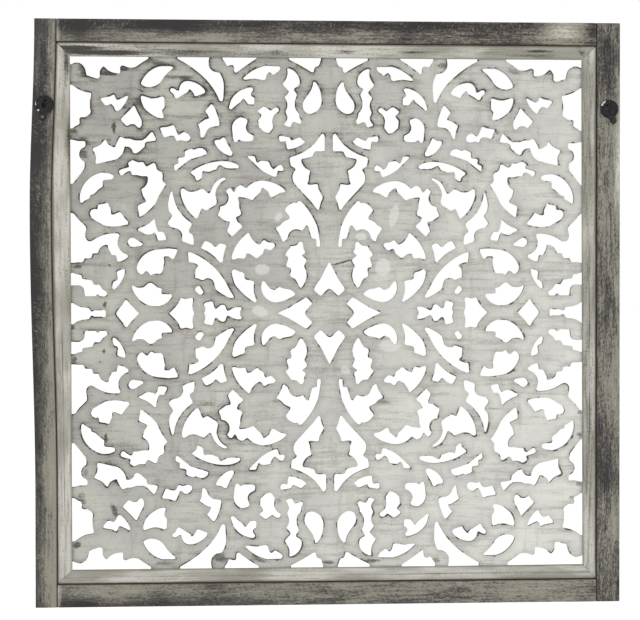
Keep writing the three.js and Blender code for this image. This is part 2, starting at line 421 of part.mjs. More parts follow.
// One stile: a wall layer and a wider lip layer, with the plate's pocket and the screw's hole
function stile(side) {
  const out = (height) => (side < 0 ? bow(height) : 0);
  const outerHalf = RABBET_HALF + (side < 0 ? LEFT_MEMBER_FACE : RIGHT_MEMBER_FACE);
  const edge = (half) => stations(-HALF, HALF).map((height) =>
    new THREE.Vector2(side * (half + out(height)), height));
  const outline = (innerHalf) => {
    const outer = new THREE.Path();
    outer.absarc(outerHalf - CORNER_RADIUS, -HALF + CORNER_RADIUS, CORNER_RADIUS, -Math.PI / 2, 0);
    const corner = outer.getPoints(CORNER_STEPS);
    const body = side < 0 ? stations(-HALF, HALF).slice(1, -1) : [];
    const right = [
      ...corner.map((p) => new THREE.Vector2(p.x + out(p.y), p.y)),
      ...body.map((height) => new THREE.Vector2(outerHalf + out(height), height)),
      ...corner.map((p) => new THREE.Vector2(p.x + out(-p.y), -p.y)).reverse(),
    ];
    const inner = side < 0
      ? edge(innerHalf).map((p) => new THREE.Vector2(-p.x, p.y)).reverse()
      : [new THREE.Vector2(innerHalf, HALF), new THREE.Vector2(innerHalf, -HALF)];
    const loop = [...right, ...inner];
    return side < 0 ? loop.map((p) => new THREE.Vector2(-p.x, p.y)).reverse() : loop;
  };
  const eye = plateCentre(side);
  const lug = lugCentre(side);
  return solid(layer(outline(RABBET_HALF), 0, LIP_Y))
    .add(solid(layer(outline(LIP_HALF), LIP_Y, FRAME_DEPTH)))
    .subtract(solid(round(POCKET_RADIUS, eye.x, eye.y, -OVERSHOOT, POCKET_DEPTH)))
    .subtract(solid(round(SCREW_RADIUS + GAP, lug.x, lug.y, -OVERSHOOT,
      SCREW_LENGTH + GAP, SMALL_SIDES)));
}

// One rail between the stiles: its wall layer laps over the stiles' lips
function rail(side) {
  const span = (half) => half - GAP;
  const between = (inner, half) => side < 0
    ? rectangle(-span(half), span(half), -HALF, -inner)
    : rectangle(-span(half), span(half), inner, HALF);
  return solid(layer(between(RABBET_HALF, RABBET_HALF), 0, LIP_Y))
    .add(solid(layer(between(LIP_HALF, LIP_HALF), LIP_Y, FRAME_DEPTH)));
}

// One bead, mitred at both ends. It is drawn along the right side and turned to its own; the left one's
// outer edge follows the bowed stile.
function bead(turn, bowed) {
  const outer = RABBET_HALF - GAP;
  const profile = [
    [0, BEAD_BACK_Y],
    [0, BEAD_Y],
    [BEAD_WIDTH - BEAD_STEP_WIDTH, BEAD_Y],
    [BEAD_WIDTH - BEAD_STEP_WIDTH + BEAD_STEP_DROP / 2, BEAD_Y + BEAD_STEP_DROP],
    [BEAD_WIDTH - GAP - BEAD_STEP_DROP / 2, BEAD_Y + BEAD_STEP_DROP],
    [BEAD_WIDTH - GAP, BEAD_Y + BEAD_STEP_DROP + BEAD_STEP_DROP / 2],
    [BEAD_WIDTH - GAP, BEAD_BACK_Y],
  ];
  const parts = bowed ? BOW_STATIONS : 1;
  const n = profile.length;
  const vertices = [];
  for (let k = 0; k <= parts; k += 1) {
    for (const [inward, y] of profile) {
      const length = outer - inward - GAP;
      const height = length * (2 * k / parts - 1);
      const swell = bowed && inward === 0 ? bow(-height) : 0;
      vertices.push(outer - inward + swell, y, height);
    }
  }
  const index = [];
  for (let k = 0; k < parts; k += 1) {
    for (let i = 0; i < n; i += 1) {
      const a = k * n + i;
      const b = k * n + (i + 1) % n;
      index.push(a, b + n, b, a, a + n, b + n);
    }
  }
  const caps = THREE.ShapeUtils.triangulateShape(
    profile.map(([inward, y]) => new THREE.Vector2(inward, y)), []);
  for (const [a, b, c] of caps) {
    index.push(a, b, c, parts * n + a, parts * n + c, parts * n + b);
  }
  const geometry = new THREE.BufferGeometry();
  geometry.setAttribute("position", new THREE.Float32BufferAttribute(vertices, 3));
  geometry.setIndex(index);
  geometry.rotateY(-toRadians(turn));
  return solid(geometry);
}

// Middle of a plate, in x and height
function plateCentre(side) {
  return side < 0
    ? new THREE.Vector2(-RABBET_HALF - LEFT_PLATE_OFF_SEAM, HALF - LEFT_PLATE_BELOW_TOP)
    : new THREE.Vector2(RABBET_HALF + RIGHT_PLATE_OFF_SEAM, HALF - RIGHT_PLATE_BELOW_TOP);
}

// Middle of a plate's lug, in x and height
function lugCentre(side) {
  const turn = toRadians(side < 0 ? LEFT_TURN : RIGHT_TURN);
  return new THREE.Vector2(0, -LUG_REACH).add(plateCentre(side)).rotateAround(plateCentre(side), turn);
}

// One keyhole plate: a disc with a rolled rim, a lug below it and an eye with its slot pointing up
function plate(side) {
  const centre = plateCentre(side);
  const turn = toRadians(side < 0 ? LEFT_TURN : RIGHT_TURN);
  const backY = -GAP;
  const frontY = backY - PLATE_THICKNESS;
  const lug = lugCentre(side);
  const cutY = [frontY - 2 * PLATE_RIM_RADIUS, backY + GAP];
  const slot = rectangle(-EYE_SLOT_WIDTH / 2, EYE_SLOT_WIDTH / 2, 0, EYE_SLOT_REACH)
    .map((p) => p.add(centre).rotateAround(centre, turn));
  const slotEnd = new THREE.Vector2(0, EYE_SLOT_REACH).add(centre).rotateAround(centre, turn);
  const arm = rectangle(-LUG_RADIUS, LUG_RADIUS, -LUG_REACH, 0)
    .map((p) => p.add(centre).rotateAround(centre, turn));
  const rim = new THREE.TorusGeometry(PLATE_RADIUS - PLATE_RIM_RADIUS, PLATE_RIM_RADIUS, RIM_SIDES, ROUND_SIDES)
    .rotateX(Math.PI / 2)
    .translate(centre.x, frontY, centre.y);
  return solid(round(PLATE_RADIUS, centre.x, centre.y, frontY, backY))
    .add(solid(layer(arm, frontY, backY)))
    .add(solid(round(LUG_RADIUS, lug.x, lug.y, frontY, backY, SMALL_SIDES)))
    .add(solid(rim))
    .subtract(solid(round(EYE_RADIUS, centre.x, centre.y, cutY[0], cutY[1], SMALL_SIDES)))
    .subtract(solid(layer(slot, cutY[0], cutY[1])))
    .subtract(solid(round(EYE_SLOT_WIDTH / 2, slotEnd.x, slotEnd.y, cutY[0], cutY[1], SMALL_SIDES)))
    .subtract(solid(round(SCREW_RADIUS + GAP, lug.x, lug.y, cutY[0], cutY[1], SMALL_SIDES)));
}

// The screw of one plate: a domed head on the lug and a shank in the stile
function screw(side) {
  const lug = lugCentre(side);
  const under = -GAP - PLATE_THICKNESS - GAP;
  const head = new THREE.LatheGeometry([
    new THREE.Vector2(0, -SCREW_HEAD_HEIGHT),
    new THREE.Vector2(SCREW_HEAD_RADIUS * HEAD_SHOULDER_OUT, -SCREW_HEAD_HEIGHT * HEAD_SHOULDER_UP),
    new THREE.Vector2(SCREW_HEAD_RADIUS, 0),
    new THREE.Vector2(SCREW_RADIUS, 0),
    new THREE.Vector2(SCREW_RADIUS, SCREW_LENGTH + GAP + PLATE_THICKNESS),
    new THREE.Vector2(0, SCREW_LENGTH + GAP + PLATE_THICKNESS),
  ], SMALL_SIDES);
  return solid(head.translate(lug.x, under, lug.y));
}

const paintedWood = (color) => new THREE.MeshStandardMaterial({ color, roughness: 0.75, metalness: 0 });
const washed = paintedWood(0x57524b);
const washedRail = paintedWood(0x6a665e);
const beadPaint = paintedWood(0xb7b4a7);
const boardPaint = paintedWood(0xb9b8af);
const blackSteel = new THREE.MeshStandardMaterial({ color: 0x232125, roughness: 0.45, metalness: 0.9 });
const brightSteel = new THREE.MeshStandardMaterial({ color: 0x8d8b86, roughness: 0.35, metalness: 1 });

const group = new THREE.Group();

// Adds one piece, with the panel's middle brought below the origin by the height of the top rail's middle
function piece(name, body, material) {
  const geometry = geometryOf(body).translate(0, 0, -(HALF - MEMBER_FACE / 2));
  const mesh = new THREE.Mesh(geometry, material);
  mesh.name = name;
  group.add(mesh);
}

const boardOutline = rectangle(-BOARD_HALF, BOARD_HALF, -BOARD_HALF, BOARD_HALF);
const cutters = cutOuts()
  .map((loop) => solid(layer(loop, BOARD_Y - OVERSHOOT, BOARD_BACK_Y + OVERSHOOT)))
  .reduce((all, cutter) => all.add(cutter));
const board = solid(layer(boardOutline, BOARD_Y, BOARD_BACK_Y)).subtract(cutters);
piece("fretwork_board", board, boardPaint);
piece("stile_left", stile(-1), washed);
piece("stile_right", stile(1), washed);
piece("rail_top", rail(1), washedRail);
piece("rail_bottom", rail(-1), washedRail);
piece("bead_right", bead(0, false), beadPaint);
piece("bead_top", bead(90, false), beadPaint);
piece("bead_left", bead(180, true), beadPaint);
piece("bead_bottom", bead(270, false), beadPaint);
piece("hanger_left", plate(-1), blackSteel);
piece("hanger_right", plate(1), blackSteel);
piece("hanger_screw_left", screw(-1), brightSteel);
piece("hanger_screw_right", screw(1), brightSteel);

export default group;
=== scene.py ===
"""A square carved wall panel: a fretwork board in a dark washed frame, seen from the side that goes to the wall.

Every shape is a numpy surface: a profile carried along a path, or an outline bounded by arcs. Lengths in the
tables are millimetres from the panel's middle, x to the right and z up; y runs from the wall face into the panel.
"""

import math

import bpy
import numpy as np
from mathutils import Matrix, Vector
from mathutils.geometry import delaunay_2d_cdt


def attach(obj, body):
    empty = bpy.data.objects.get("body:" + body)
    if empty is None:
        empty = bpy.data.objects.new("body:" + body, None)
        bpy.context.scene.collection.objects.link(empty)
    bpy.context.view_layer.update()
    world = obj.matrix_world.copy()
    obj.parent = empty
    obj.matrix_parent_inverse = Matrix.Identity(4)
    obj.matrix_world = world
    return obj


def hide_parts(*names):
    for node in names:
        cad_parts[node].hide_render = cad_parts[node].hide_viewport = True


bl_info = {
    "name": "Carved wall panel",
    "version": (1, 0, 0),
    "blender": (4, 5, 0),
    "location": "View3D > Sidebar > Wall panel",
    "description": "Fretwork wall panel in a distressed frame, built on its packed solids",
    "category": "Object",
}

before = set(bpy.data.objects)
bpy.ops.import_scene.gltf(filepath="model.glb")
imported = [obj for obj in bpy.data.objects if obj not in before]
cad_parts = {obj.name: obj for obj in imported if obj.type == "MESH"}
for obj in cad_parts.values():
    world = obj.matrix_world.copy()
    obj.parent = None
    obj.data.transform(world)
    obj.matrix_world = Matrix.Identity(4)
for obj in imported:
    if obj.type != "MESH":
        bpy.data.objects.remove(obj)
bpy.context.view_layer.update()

MM = 0.001
# Height of the origin, the middle of the top rail's wall face, above the panel's middle
ORIGIN_HEIGHT = 430.75

# Half sizes from the panel's middle; across, the opening and what fills it are a little wider than high
WIDEN = 1.0055
FRAME_HALF = 448.5
RABBET_HALF = 413.0
LIP_HALF = 403.0
LEFT_OUTER_HALF = 448.4
RIGHT_OUTER_HALF = 452.0
OPENING_HALF = 392.0
FRAME_DEPTH = 25.0
LIP_Y = 19.0
GAP = 0.3

# The left member has bowed outwards
BOW = 7.6
BOW_HEIGHT = 155.0
BOW_REACH_UP = FRAME_HALF - BOW_HEIGHT
BOW_REACH_DOWN = 440.0

# Depths of the fretwork board and of the beads in front of it
BOARD_Y = (9.7, 18.7)
BOARD_HALF = RABBET_HALF - GAP
BEAD_Y = (3.4, 9.4)

# Bead section, as distance in and depth below the top: the groove from the outer edge, the eased arris from the inner
BEAD_GROOVE = ((9.2, 0.0), (9.8, 1.2), (10.6, 0.9))
BEAD_ARRIS = ((1.5, 0.9), (0.0, 2.2))

# How round the corners of the sections are, then chord error in millimetres and least points a millimetre
MEMBER_SOFTNESS = 0.7
BEAD_SOFTNESS = 0.35
BOARD_FINENESS = (0.12, 1 / 8)
MEMBER_FINENESS = (0.04, 1 / 3.5)
BEAD_FINENESS = (0.03, 1 / 3.0)
DRAWN_STEP = 1.0
SAMPLE_STEP = 0.35

# Stations along the bars, and half the stretch at a plate's pocket where they stand a millimetre apart
STILE_STATIONS = 150
RAIL_STATIONS = 120
BEAD_STATIONS = 150
POCKET_SPAN = 12

# Ends of the frame members: stations over the last millimetre, how far the corners draw in and over what width
END_STEPS = (0, 0.15, 0.5, 1.0)
END_CLEAR = 2
END_PULL = 0.8
END_WIDTH = 3.0

# Loose points on the board's face: two rings round each cut-out and an even grid, the least distance to an edge
# that each keeps, their clearance from the lines of symmetry and how far out they go
RINGS = (1.3, 3.2)
GRID_STEP = 5.6
LOOSE_LEAST = (1.15, 2.9, 4.2)
LINE_CLEAR = 0.8
LOOSE_HALF = 404.0

# Open share round a point: the width of its bell curve, and the step and the ends of the grid that it sums
OPEN_SPREAD = 10.0
OPEN_STEP = 5.0
OPEN_ENDS = (-18.0, 412.0)
# The distance to an edge that the board's rim and its display side carry
RIM_GAP = 9.0

# How the sawn pattern lies off its drawn place, in millimetres: shares of 1, X, Z, X X, X Z and Z Z, where X and Z
# run from -1 to 1 across the board
DRIFT_X = (1.57, 0.5, -1.29, -0.55, 0.19, -0.13)
DRIFT_Z = (0.07, 0.47, -0.33, 0.10, -0.86, 0.43)
# How far the opening leans to the left at its top and to the right at its foot
LEAN = -1.1

# Keyhole plates: middle, turn in degrees, and sizes
PLATES = {"left": (-432.9, 317.2, -9.0), "right": (434.8, 315.3, 20.0)}
PLATE_RADIUS = 14.0
PLATE_Y = (-2.3, -0.3)
RIM_RADIUS = 1.2
EYE_RADIUS = 4.5
SLOT_HALF = 2.2
SLOT_REACH = 8.0
LUG_RADIUS = 5.0
LUG_REACH = 18.8
POCKET_RADIUS = 9.0
POCKET_DEPTH = 9.0
POCKET_WALL = 1.5
PLATE_SIDES = 240
PLATE_DISH = 0.35
EYE_LIP = 0.4
EYE_LIP_SHARE = 0.06

# Screws: head radius and height, the shank as radius and depth, and the cross's half width, reach and depth
SCREW_HEAD = (3.2, 1.6)
SCREW_SHANK = ((1.5, 10.0), (1.2, 12.3), (0.0, 12.6))
SCREW_CROSS = (0.35, 2.0, 0.7)
SCREW_SIDES = 48

# Where the cut-outs that reach the beads run on under them
E = 395.0

# The upper right quarter of the fretwork: closed outlines, anticlockwise. A third number bends the edge that
# leaves the corner: twice the arc's height over its chord, below zero where the leaf swells into the cut-out.
QUARTER = (
  [[61, E], [11, E], [11.5, 390], [14, 382.2], [16.5, 379.3], [20, 379], [21.7, 377], [22.4, 371.5],
    [24.4, 369.8], [27, 370.8, -0.04], [60.5, 389.3]],
  [[162.4, E], [110, E], [110.3, 390.3, -0.035], [141, 368.6], [143.8, 369.6], [144.7, 379], [146, 380.6],
    [149, 380.6], [155, 378.8], [158.2, 384.8], [161.8, 389.2]],
  [[230.4, E], [181.3, E], [181.8, 391, -0.12], [182.6, 380, -0.36], [169, 370.3], [166.3, 369.3, 0.155],
    [160, 347], [160.9, 329.5], [162.3, 324.9], [166.2, 325.2, -0.093], [186.2, 357.3, -0.084],
    [230, 389.3]],
  [[E, E], [274.5, E], [273.7, 390.3], [275, 388.8], [284.5, 382.8], [293.5, 376.2, 0.12], [306, 376],
    [312.5, 378.8, -0.4], [316.9, 374.5], [316.4, 368], [318, 366.2], [327.5, 367.6], [334.5, 370.5],
    [341.5, 377.2, -0.2], [347.7, 368], [347.3, 361.3], [349, 358.6], [353, 358.4], [367.7, 363.5],
    [369.4, 371.5, -0.35], [382, 382.6, -0.12], [391, 379.4], [E, 379.4]],
  [[23.6, 355.8, 0.4], [20, 356, 0.17], [11, 333, 0.417], [27.5, 306.6, 0.44], [39.6, 317, 0.2],
    [37, 328.6], [26.8, 343.2], [24.3, 349.8]],
  [[63.8, 376], [61.5, 377, 0.315], [44, 358, 0.43], [52.2, 346.4], [53, 343.6], [48.2, 336.8],
    [49.3, 333, -0.22], [50, 313.2], [45.3, 307.6], [44.8, 302], [41.8, 296], [42, 293], [44.5, 290.9],
    [53.5, 294.5], [55.7, 293.8], [58.2, 287.4], [60.5, 286], [67.3, 288.5], [68.7, 290.8], [64.8, 295.4],
    [62.9, 301], [66, 308.2], [66, 310.8, -0.33], [67, 330.4], [67.2, 332.6], [61, 339.6], [61.3, 341.6],
    [69.5, 350.3], [70, 352.8], [65.8, 359, -0.22]],
  [[75, 380.2], [73.1, 377], [76.3, 371.5], [81, 368.8], [83.3, 366.1], [86, 366.5], [89.8, 370.2],
    [92, 369.9], [94.8, 366], [96.4, 359.3], [98, 357.8], [103, 358.3], [113, 360.1], [126, 358.3],
    [129.8, 358.5], [130.8, 361, 0.15], [97, 380.6]],
  [[118.5, 347.6], [115.2, 345.3], [115.3, 343], [119, 337.5], [118.6, 334.4], [113.6, 331.4],
    [113.3, 323], [115.3, 320.2], [123.5, 320.8], [126, 324.5], [130.3, 330.2], [134.3, 324.8],
    [145.3, 315.8], [148, 312.9], [150.5, 312.4], [152.8, 314.8], [149.1, 327.3, 0.15], [133.5, 343.2],
    [125, 346.5]],
  [[188, 339.5], [190, 336.8], [199, 333.7], [202, 332.2], [204.6, 333], [206, 337.3], [211.2, 343.3],
    [212.8, 343], [214.8, 338.6], [222.5, 334.5], [229, 330], [231.5, 328.7], [234, 330], [236.5, 335.8],
    [241, 339.3], [242, 342.5], [240, 345.4], [236, 345], [231.3, 341.6], [228.5, 341.2],
    [227.3, 345.5, 0.42], [214, 356.3, 0.2], [190, 344]],
  [[236.4, 376], [238.5, 373.5, -0.11], [255, 354.5, 0.17], [268, 346.6, 0.18], [282, 347.8, 0.25],
    [285.8, 352.5, 0.25], [257, 378.6], [241, 379], [237, 377.6]],
  [[253, 332.8], [250.4, 330.5], [249.8, 315.2], [253.9, 310.8], [253.4, 306.5], [251.2, 300.6],
    [253.5, 298.3], [260.5, 299.3, 0.1], [279.5, 312.5, 0.13], [286.2, 331], [285, 333.8], [280.2, 332.3],
    [270, 329.2], [262, 329.9]],
  [[307.5, 333.4], [305.3, 332.3], [305.2, 329.8], [309.2, 321.3], [315, 313.2], [320.4, 308.9],
    [322.8, 308.8], [325, 311.2], [326.8, 316], [330.5, 320.1], [335.2, 317.8], [339.5, 317.5],
    [346.6, 326.5], [346.3, 329.7], [333, 331.8], [327, 335], [325.3, 333.5], [323.5, 327.8],
    [321.3, 326.4], [313, 330.2]],
  [[297.5, 318], [295.5, 317.5], [291.8, 308.8], [286, 298.2, 0.2], [285.5, 286], [287.5, 283.6],
    [290.5, 284.2], [295.5, 289.3], [301.5, 289.4], [306.2, 286.3], [308.7, 287.2], [316.4, 296],
    [315.8, 298.8], [303, 311.3]],
  [[E, 350], [389.5, 349.4, -0.13], [370, 338.7], [361.5, 337.2], [360.2, 335], [362.5, 324],
    [362.5, 312.5], [361.2, 308], [362.5, 304.7], [369.5, 299.4], [376.8, 299.5], [378.8, 296.5],
    [377.9, 290.5], [380.3, 287.4], [383.8, 286.4], [389, 282.3], [E, 282]],
  [[81, 317.1], [77.2, 316], [75.6, 312.2], [77.5, 309.3, -0.29], [86.3, 295], [85, 285], [91.5, 276.6],
    [94, 277], [101, 279.8], [104, 283.9], [106.7, 285], [108, 296.5], [103, 303], [103.2, 305.3],
    [108, 308.8], [108.6, 311.6], [100.5, 318], [97.5, 318], [88.7, 311.5], [83.5, 316]],
  [[134.5, 301.5], [126, 299.2], [124.2, 297], [124.3, 293.8], [126.5, 288.5, -0.4], [119, 275.5],
    [115.5, 273.5], [114.9, 267.5], [118, 264.3], [128, 263.6], [133.5, 264.3], [137.5, 267],
    [140.7, 262.8], [144, 262.4], [146.3, 267.5], [147.5, 280.5, 0.4]],
  [[179.5, 321.2], [177, 320.3], [173.5, 314.5], [168, 298.3], [166.8, 290], [168.3, 287.3],
    [174, 286.5, -0.36], [188.5, 274.5], [191.5, 269.2], [195.5, 269.1], [196.6, 281.5], [199.8, 289.8],
    [188.8, 297.6], [182.4, 299], [184.5, 304.3], [189, 310.3]],
  [[238.3, 288.8], [236, 288], [229.8, 273.4], [228, 273.6], [223, 277.8], [219.8, 278.3], [214.2, 275.2],
    [211.2, 270.5], [211.2, 266.8], [214, 264.3], [218, 263.5], [226, 265.5], [231, 263.4], [233, 265.3],
    [235.5, 271], [238, 272.1], [243.5, 271.6], [250.5, 268.9], [252, 270.8], [257.3, 283.3],
    [255.5, 285.1], [245.5, 286]],
  [[74.5, 273.5], [60, 271], [57.8, 266], [55.5, 266.3], [45.5, 271], [42.7, 270.6], [40.3, 267.2],
    [36.5, 265.5], [36.7, 263], [43.3, 257.8], [52.4, 253.7], [62, 251.8], [64.6, 253.5], [65.4, 262],
    [67, 265.3], [69.5, 263.5], [74, 263.6], [76.5, 267], [76.5, 271.5]],
  [[161.5, 270.3], [159, 269.9], [154.8, 260.5], [147.4, 247], [147.6, 243], [149.8, 241.6],
    [153.5, 242.2, 0.195], [174.4, 261], [175, 264.5], [173, 266.3], [167, 266.5]],
  [[10.5, 276.8], [8, 276.6], [6, 273], [6, 251], [7.5, 249.1], [21, 249.2], [22.8, 247.5], [25, 241.5],
    [35, 238.5], [41.5, 237.8], [42.5, 235.5, -0.275], [30, 220.4], [28.3, 218.8], [30.6, 212],
    [31, 204.5], [33.5, 199], [31.5, 197.9], [27, 197.8], [18.5, 199.2], [16.8, 197.5], [16.3, 192],
    [9.2, 178.5], [12.7, 170.5], [15.2, 160], [16.8, 158.4], [18.8, 159.7], [26, 169.6],
    [52.4, 198.3, 0.35], [52.5, 218.8], [51, 220.5], [52.8, 223.4], [58.5, 226.5], [60.5, 238.5],
    [58.5, 240.6, -0.15], [20.5, 262.8]],
  [[123, 242.2], [113.5, 241.6], [110.8, 232.3], [108.5, 231.3], [104.5, 234.8], [100, 234.7],
    [92, 233.3], [88.5, 224.8], [84.6, 221.3], [79.5, 226], [75, 228.5], [72.2, 228.4], [69.1, 221.8],
    [71.5, 218.2], [78.3, 219.3], [80.5, 210.6], [82.8, 209.4, 0.09], [106, 221.9], [124.3, 239.8]],
  [[186, 244.5], [188, 243.4], [213, 235.3], [231, 220.7], [233.8, 218.3], [235.8, 220.3],
    [236.5, 226.5], [235, 228.5], [229.8, 230.3], [229.5, 232.8], [230.6, 237], [229, 238.8],
    [221.3, 239.7], [219.6, 242], [220.1, 248.3], [217.5, 250], [210.5, 253], [206, 250.9],
    [199.5, 253.8], [193.5, 253.7], [188, 250.1]],
  [[137, 225], [139.3, 222.6], [150, 222.2], [157.5, 222.8], [167.1, 228], [170.3, 225.1], [171.8, 220.8],
    [176, 219.8], [182, 217], [189.5, 217.4], [191.3, 218.8], [193, 217.5], [194.2, 212.5],
    [193.8, 208.8], [198, 204.5], [201, 203.4], [203.2, 203.9], [204.3, 209.5], [211, 214.8],
    [211.2, 216.8, 0.15], [165, 233.8, 0.15], [139.5, 228.5]],
  [[270.5, 278], [268.3, 277.8], [263.5, 267], [263.8, 264.2], [278, 262.3], [280.2, 260],
    [280.3, 255.3], [289.5, 246.7], [294.5, 244.4], [298, 245.6], [299.8, 250.8], [303.5, 254.4],
    [310.8, 255.3], [311.5, 252, 0.26], [325, 234.9], [343, 230.8], [352.5, 228.4], [355.2, 229.8],
    [355.4, 233, -0.245], [358.4, 248.7], [359.5, 251], [358.5, 253.3], [352.5, 255.6], [346.5, 259.2],
    [341.5, 265.4], [339.5, 265.9], [336.1, 258.7], [329, 254.8], [325.5, 254.2], [324, 259],
    [318.5, 269.6], [316.5, 270.4], [310, 267.6], [304, 267.8], [296, 265], [284.5, 265], [279, 268.5]],
  [[E, 266], [389, 265.5], [382, 263.6], [371, 263.7], [369.6, 261], [369.5, 256], [371, 253.8, -0.73],
    [371.5, 232], [370.8, 227], [371.8, 220.5], [388.5, 198.8], [390, 197.6], [E, 199]],
  [[265, 230], [262.3, 220.7], [259.5, 218.3], [255, 216.8], [253.2, 211], [254.2, 205], [252.8, 202],
    [248.2, 197.5, -0.07], [264.4, 168.5, 0.08], [287, 148], [289.4, 148], [291.9, 164.5], [290.5, 166],
    [280, 170.8], [278.8, 172.8], [283.5, 180], [286.2, 190.5, -0.24], [276.2, 203], [276, 208.5],
    [277.3, 210.1], [285, 209.8], [292.5, 211.7], [299.8, 211.4], [302, 217.5], [304.5, 217.8],
    [309, 215.5], [314.5, 210.9], [316.8, 211.2], [320, 216], [319.3, 219.2], [315.5, 221], [305, 223.8],
    [304.2, 225.8], [306, 229], [305.3, 231.2], [299.5, 235], [291, 231.5], [283, 232], [279.5, 225.8],
    [277.5, 225], [268, 230.6]],
  [[159.5, 208.8], [157.7, 207.5], [158.5, 204.9, -0.26], [173.9, 183], [171.4, 171], [173.5, 166.5],
    [184, 160], [186.8, 157.8], [189.2, 158.2], [194.4, 161.2], [195.5, 159.5], [200.3, 147.5],
    [202, 145.4], [204.3, 146.2, 0.19], [226.4, 184], [226.2, 190], [224.3, 192], [221.5, 191.5],
    [216.5, 187.8, -0.24], [199.5, 189.5], [194, 191.3], [191.5, 190.8], [185.5, 184.7], [182.3, 184.2],
    [178.5, 193, 0.22], [162.5, 208.5]],
  [[66.8, 188], [68.5, 186], [76, 184.8], [86.5, 178.4], [89, 178.2], [91.3, 181], [93, 186.5],
    [101.5, 193.5], [103.3, 192], [104.8, 186.5], [112, 179.8], [116.7, 174.2], [119, 174], [125, 177],
    [138.5, 178.7], [139.6, 176.5], [137.6, 171], [137.4, 162], [134.3, 154], [135.5, 150.8],
    [142.9, 147.5], [140.5, 141], [133.2, 135], [133.2, 132.5], [148, 118.1], [150, 118.3], [156.3, 126.5],
    [151.6, 138.5], [152.7, 141.2], [158.5, 141.6], [170, 150], [169.8, 152.5], [167, 158.5],
    [166.3, 164.3], [161, 165.4, -0.44], [155.5, 184.2], [157.4, 186], [156.8, 188.8], [153, 192.8],
    [150, 192.2], [146, 186.3], [144.2, 187], [141.8, 193.5], [135.7, 197.4], [131, 195.3], [127.3, 192.2],
    [125.5, 193, 0.23], [101.5, 204.2, 0.157], [69, 191.5]],
  [[241.3, 187], [239.3, 187.3], [237.6, 178.5, -0.2], [212.5, 140.3], [209.9, 138], [210, 135.2],
    [214.3, 127.5], [213.8, 124], [208.7, 121], [207, 113.5], [206.8, 106.5], [208.8, 104.8],
    [223.5, 110.2], [225.1, 112.5], [224.2, 120, -0.25], [231.5, 129.7], [242, 132.5], [246.2, 137.5],
    [246, 140], [239.7, 149.2], [240.2, 151.8], [244.8, 157.2], [245.9, 166, 0.08]],
  [[47, 173], [43.5, 172.8, 0.115], [17.8, 132], [13.7, 109], [13.7, 103.3], [15.3, 101.9],
    [18.3, 101.9], [19.8, 103.8], [20, 114], [26, 115], [27.6, 117], [31.6, 131.5], [32.8, 134.7],
    [35.3, 135.4], [41.3, 126.7], [46, 128.3, -0.43], [62.6, 120.5], [64.5, 114.5], [70, 109.9],
    [72, 110.3], [74.6, 118.5], [82, 130.8], [81, 132.2], [75, 135.2], [70.5, 140.5], [66, 143],
    [60.5, 145.3], [61.3, 149.5], [67.6, 157.5], [67.3, 160, 0.21], [53, 170.6], [49.4, 169.4]],
  [[327.5, 209], [328.5, 206], [331, 204.8], [343, 203.8], [344.5, 201], [343.9, 194], [350.5, 189.5],
    [357.5, 182.2], [362.3, 181.2], [363.8, 179.5], [363.5, 176.5], [371.5, 172.3], [375.2, 168.8],
    [377.3, 168.6], [379, 171.5], [379.3, 178, 0.343], [346, 215.6], [336, 214.9], [328.8, 212]],
  [[305.5, 139], [307.3, 135.6], [314, 134.8, 0.128], [343, 134.9], [361.5, 146], [364.4, 153],
    [362.5, 157.8], [357.5, 160.2], [353.5, 159.2], [352, 161.5], [352.2, 165.6], [350, 166.9],
    [342, 167.9], [338.3, 169.7], [336.5, 168.7], [332, 158.5], [332.1, 151.6], [328.5, 151.2],
    [320, 155.2], [317.5, 154.8], [312.5, 147.5]],
  [[268, 144.5], [266, 144.7], [264.3, 134], [261.3, 125.7], [258.8, 125], [255.5, 126], [252.8, 124.2],
    [248.5, 115.5], [249.5, 112.6], [256, 111.6], [261.5, 111.8], [263.6, 120], [266.3, 124.4],
    [270, 121.5], [276, 120.5], [281.5, 121.8], [286, 125], [291.8, 127.3], [291.9, 129.6], [282, 133.6],
    [273.8, 138.7]],
  [[83, 105.5], [83.3, 103], [89, 97], [92.5, 96.7], [97, 99.2], [99, 99.3], [102, 91], [107.2, 87.8],
    [110, 84.6], [112.5, 84.6], [121, 91], [125.8, 92.2], [127.4, 90.8], [128.2, 86], [130.5, 83.8],
    [138.5, 85], [146.5, 82.3], [149.3, 83.3], [149.2, 87.5, 0.127], [134, 115], [124.8, 123.6],
    [122.5, 123.5], [119.8, 116.3], [114, 109.3], [107.8, 105.4], [105.3, 106.2], [101.5, 112],
    [99, 112.6], [94.3, 109.2], [86, 108.3]],
  [[157.4, 103.5], [160.8, 93.5], [163.2, 79], [165.3, 77.8], [168, 78.7, -0.14], [195.5, 99.5],
    [195.8, 101.5], [190.8, 110.5], [188, 111.2], [180, 107.3], [175, 101.6], [173, 102], [168.2, 107.2],
    [164.5, 107.3], [158.8, 105.5]],
  [[E, 153.8], [390, 153.8], [387, 151.6], [381, 143.7], [370.2, 133.3], [369.3, 129.5], [371.1, 119.5],
    [370.4, 115], [367.5, 111], [363.5, 110.2], [359, 112.4, 0.143], [330, 122.7], [321.5, 122.6],
    [319.4, 120.3], [320, 117.5, -0.49], [308, 90.2], [306.4, 88], [307, 85.7], [312.5, 81.8],
    [318.5, 79.6], [322.5, 79.5], [323.8, 81.5], [325, 89.2], [331.8, 89.5], [337, 100],
    [337.4, 105.3, -0.385], [351.5, 93], [352.8, 92], [360, 92], [361.8, 85], [369.5, 84], [371.5, 85.1],
    [374, 79.5], [376, 78.3], [384, 78.3], [389, 77.3], [E, 77.8]],
  [[283.8, 106.5], [286, 103.5], [300.5, 101.6, 0.27], [307.3, 109.5, 0.36], [301, 116.4], [297, 115.3]],
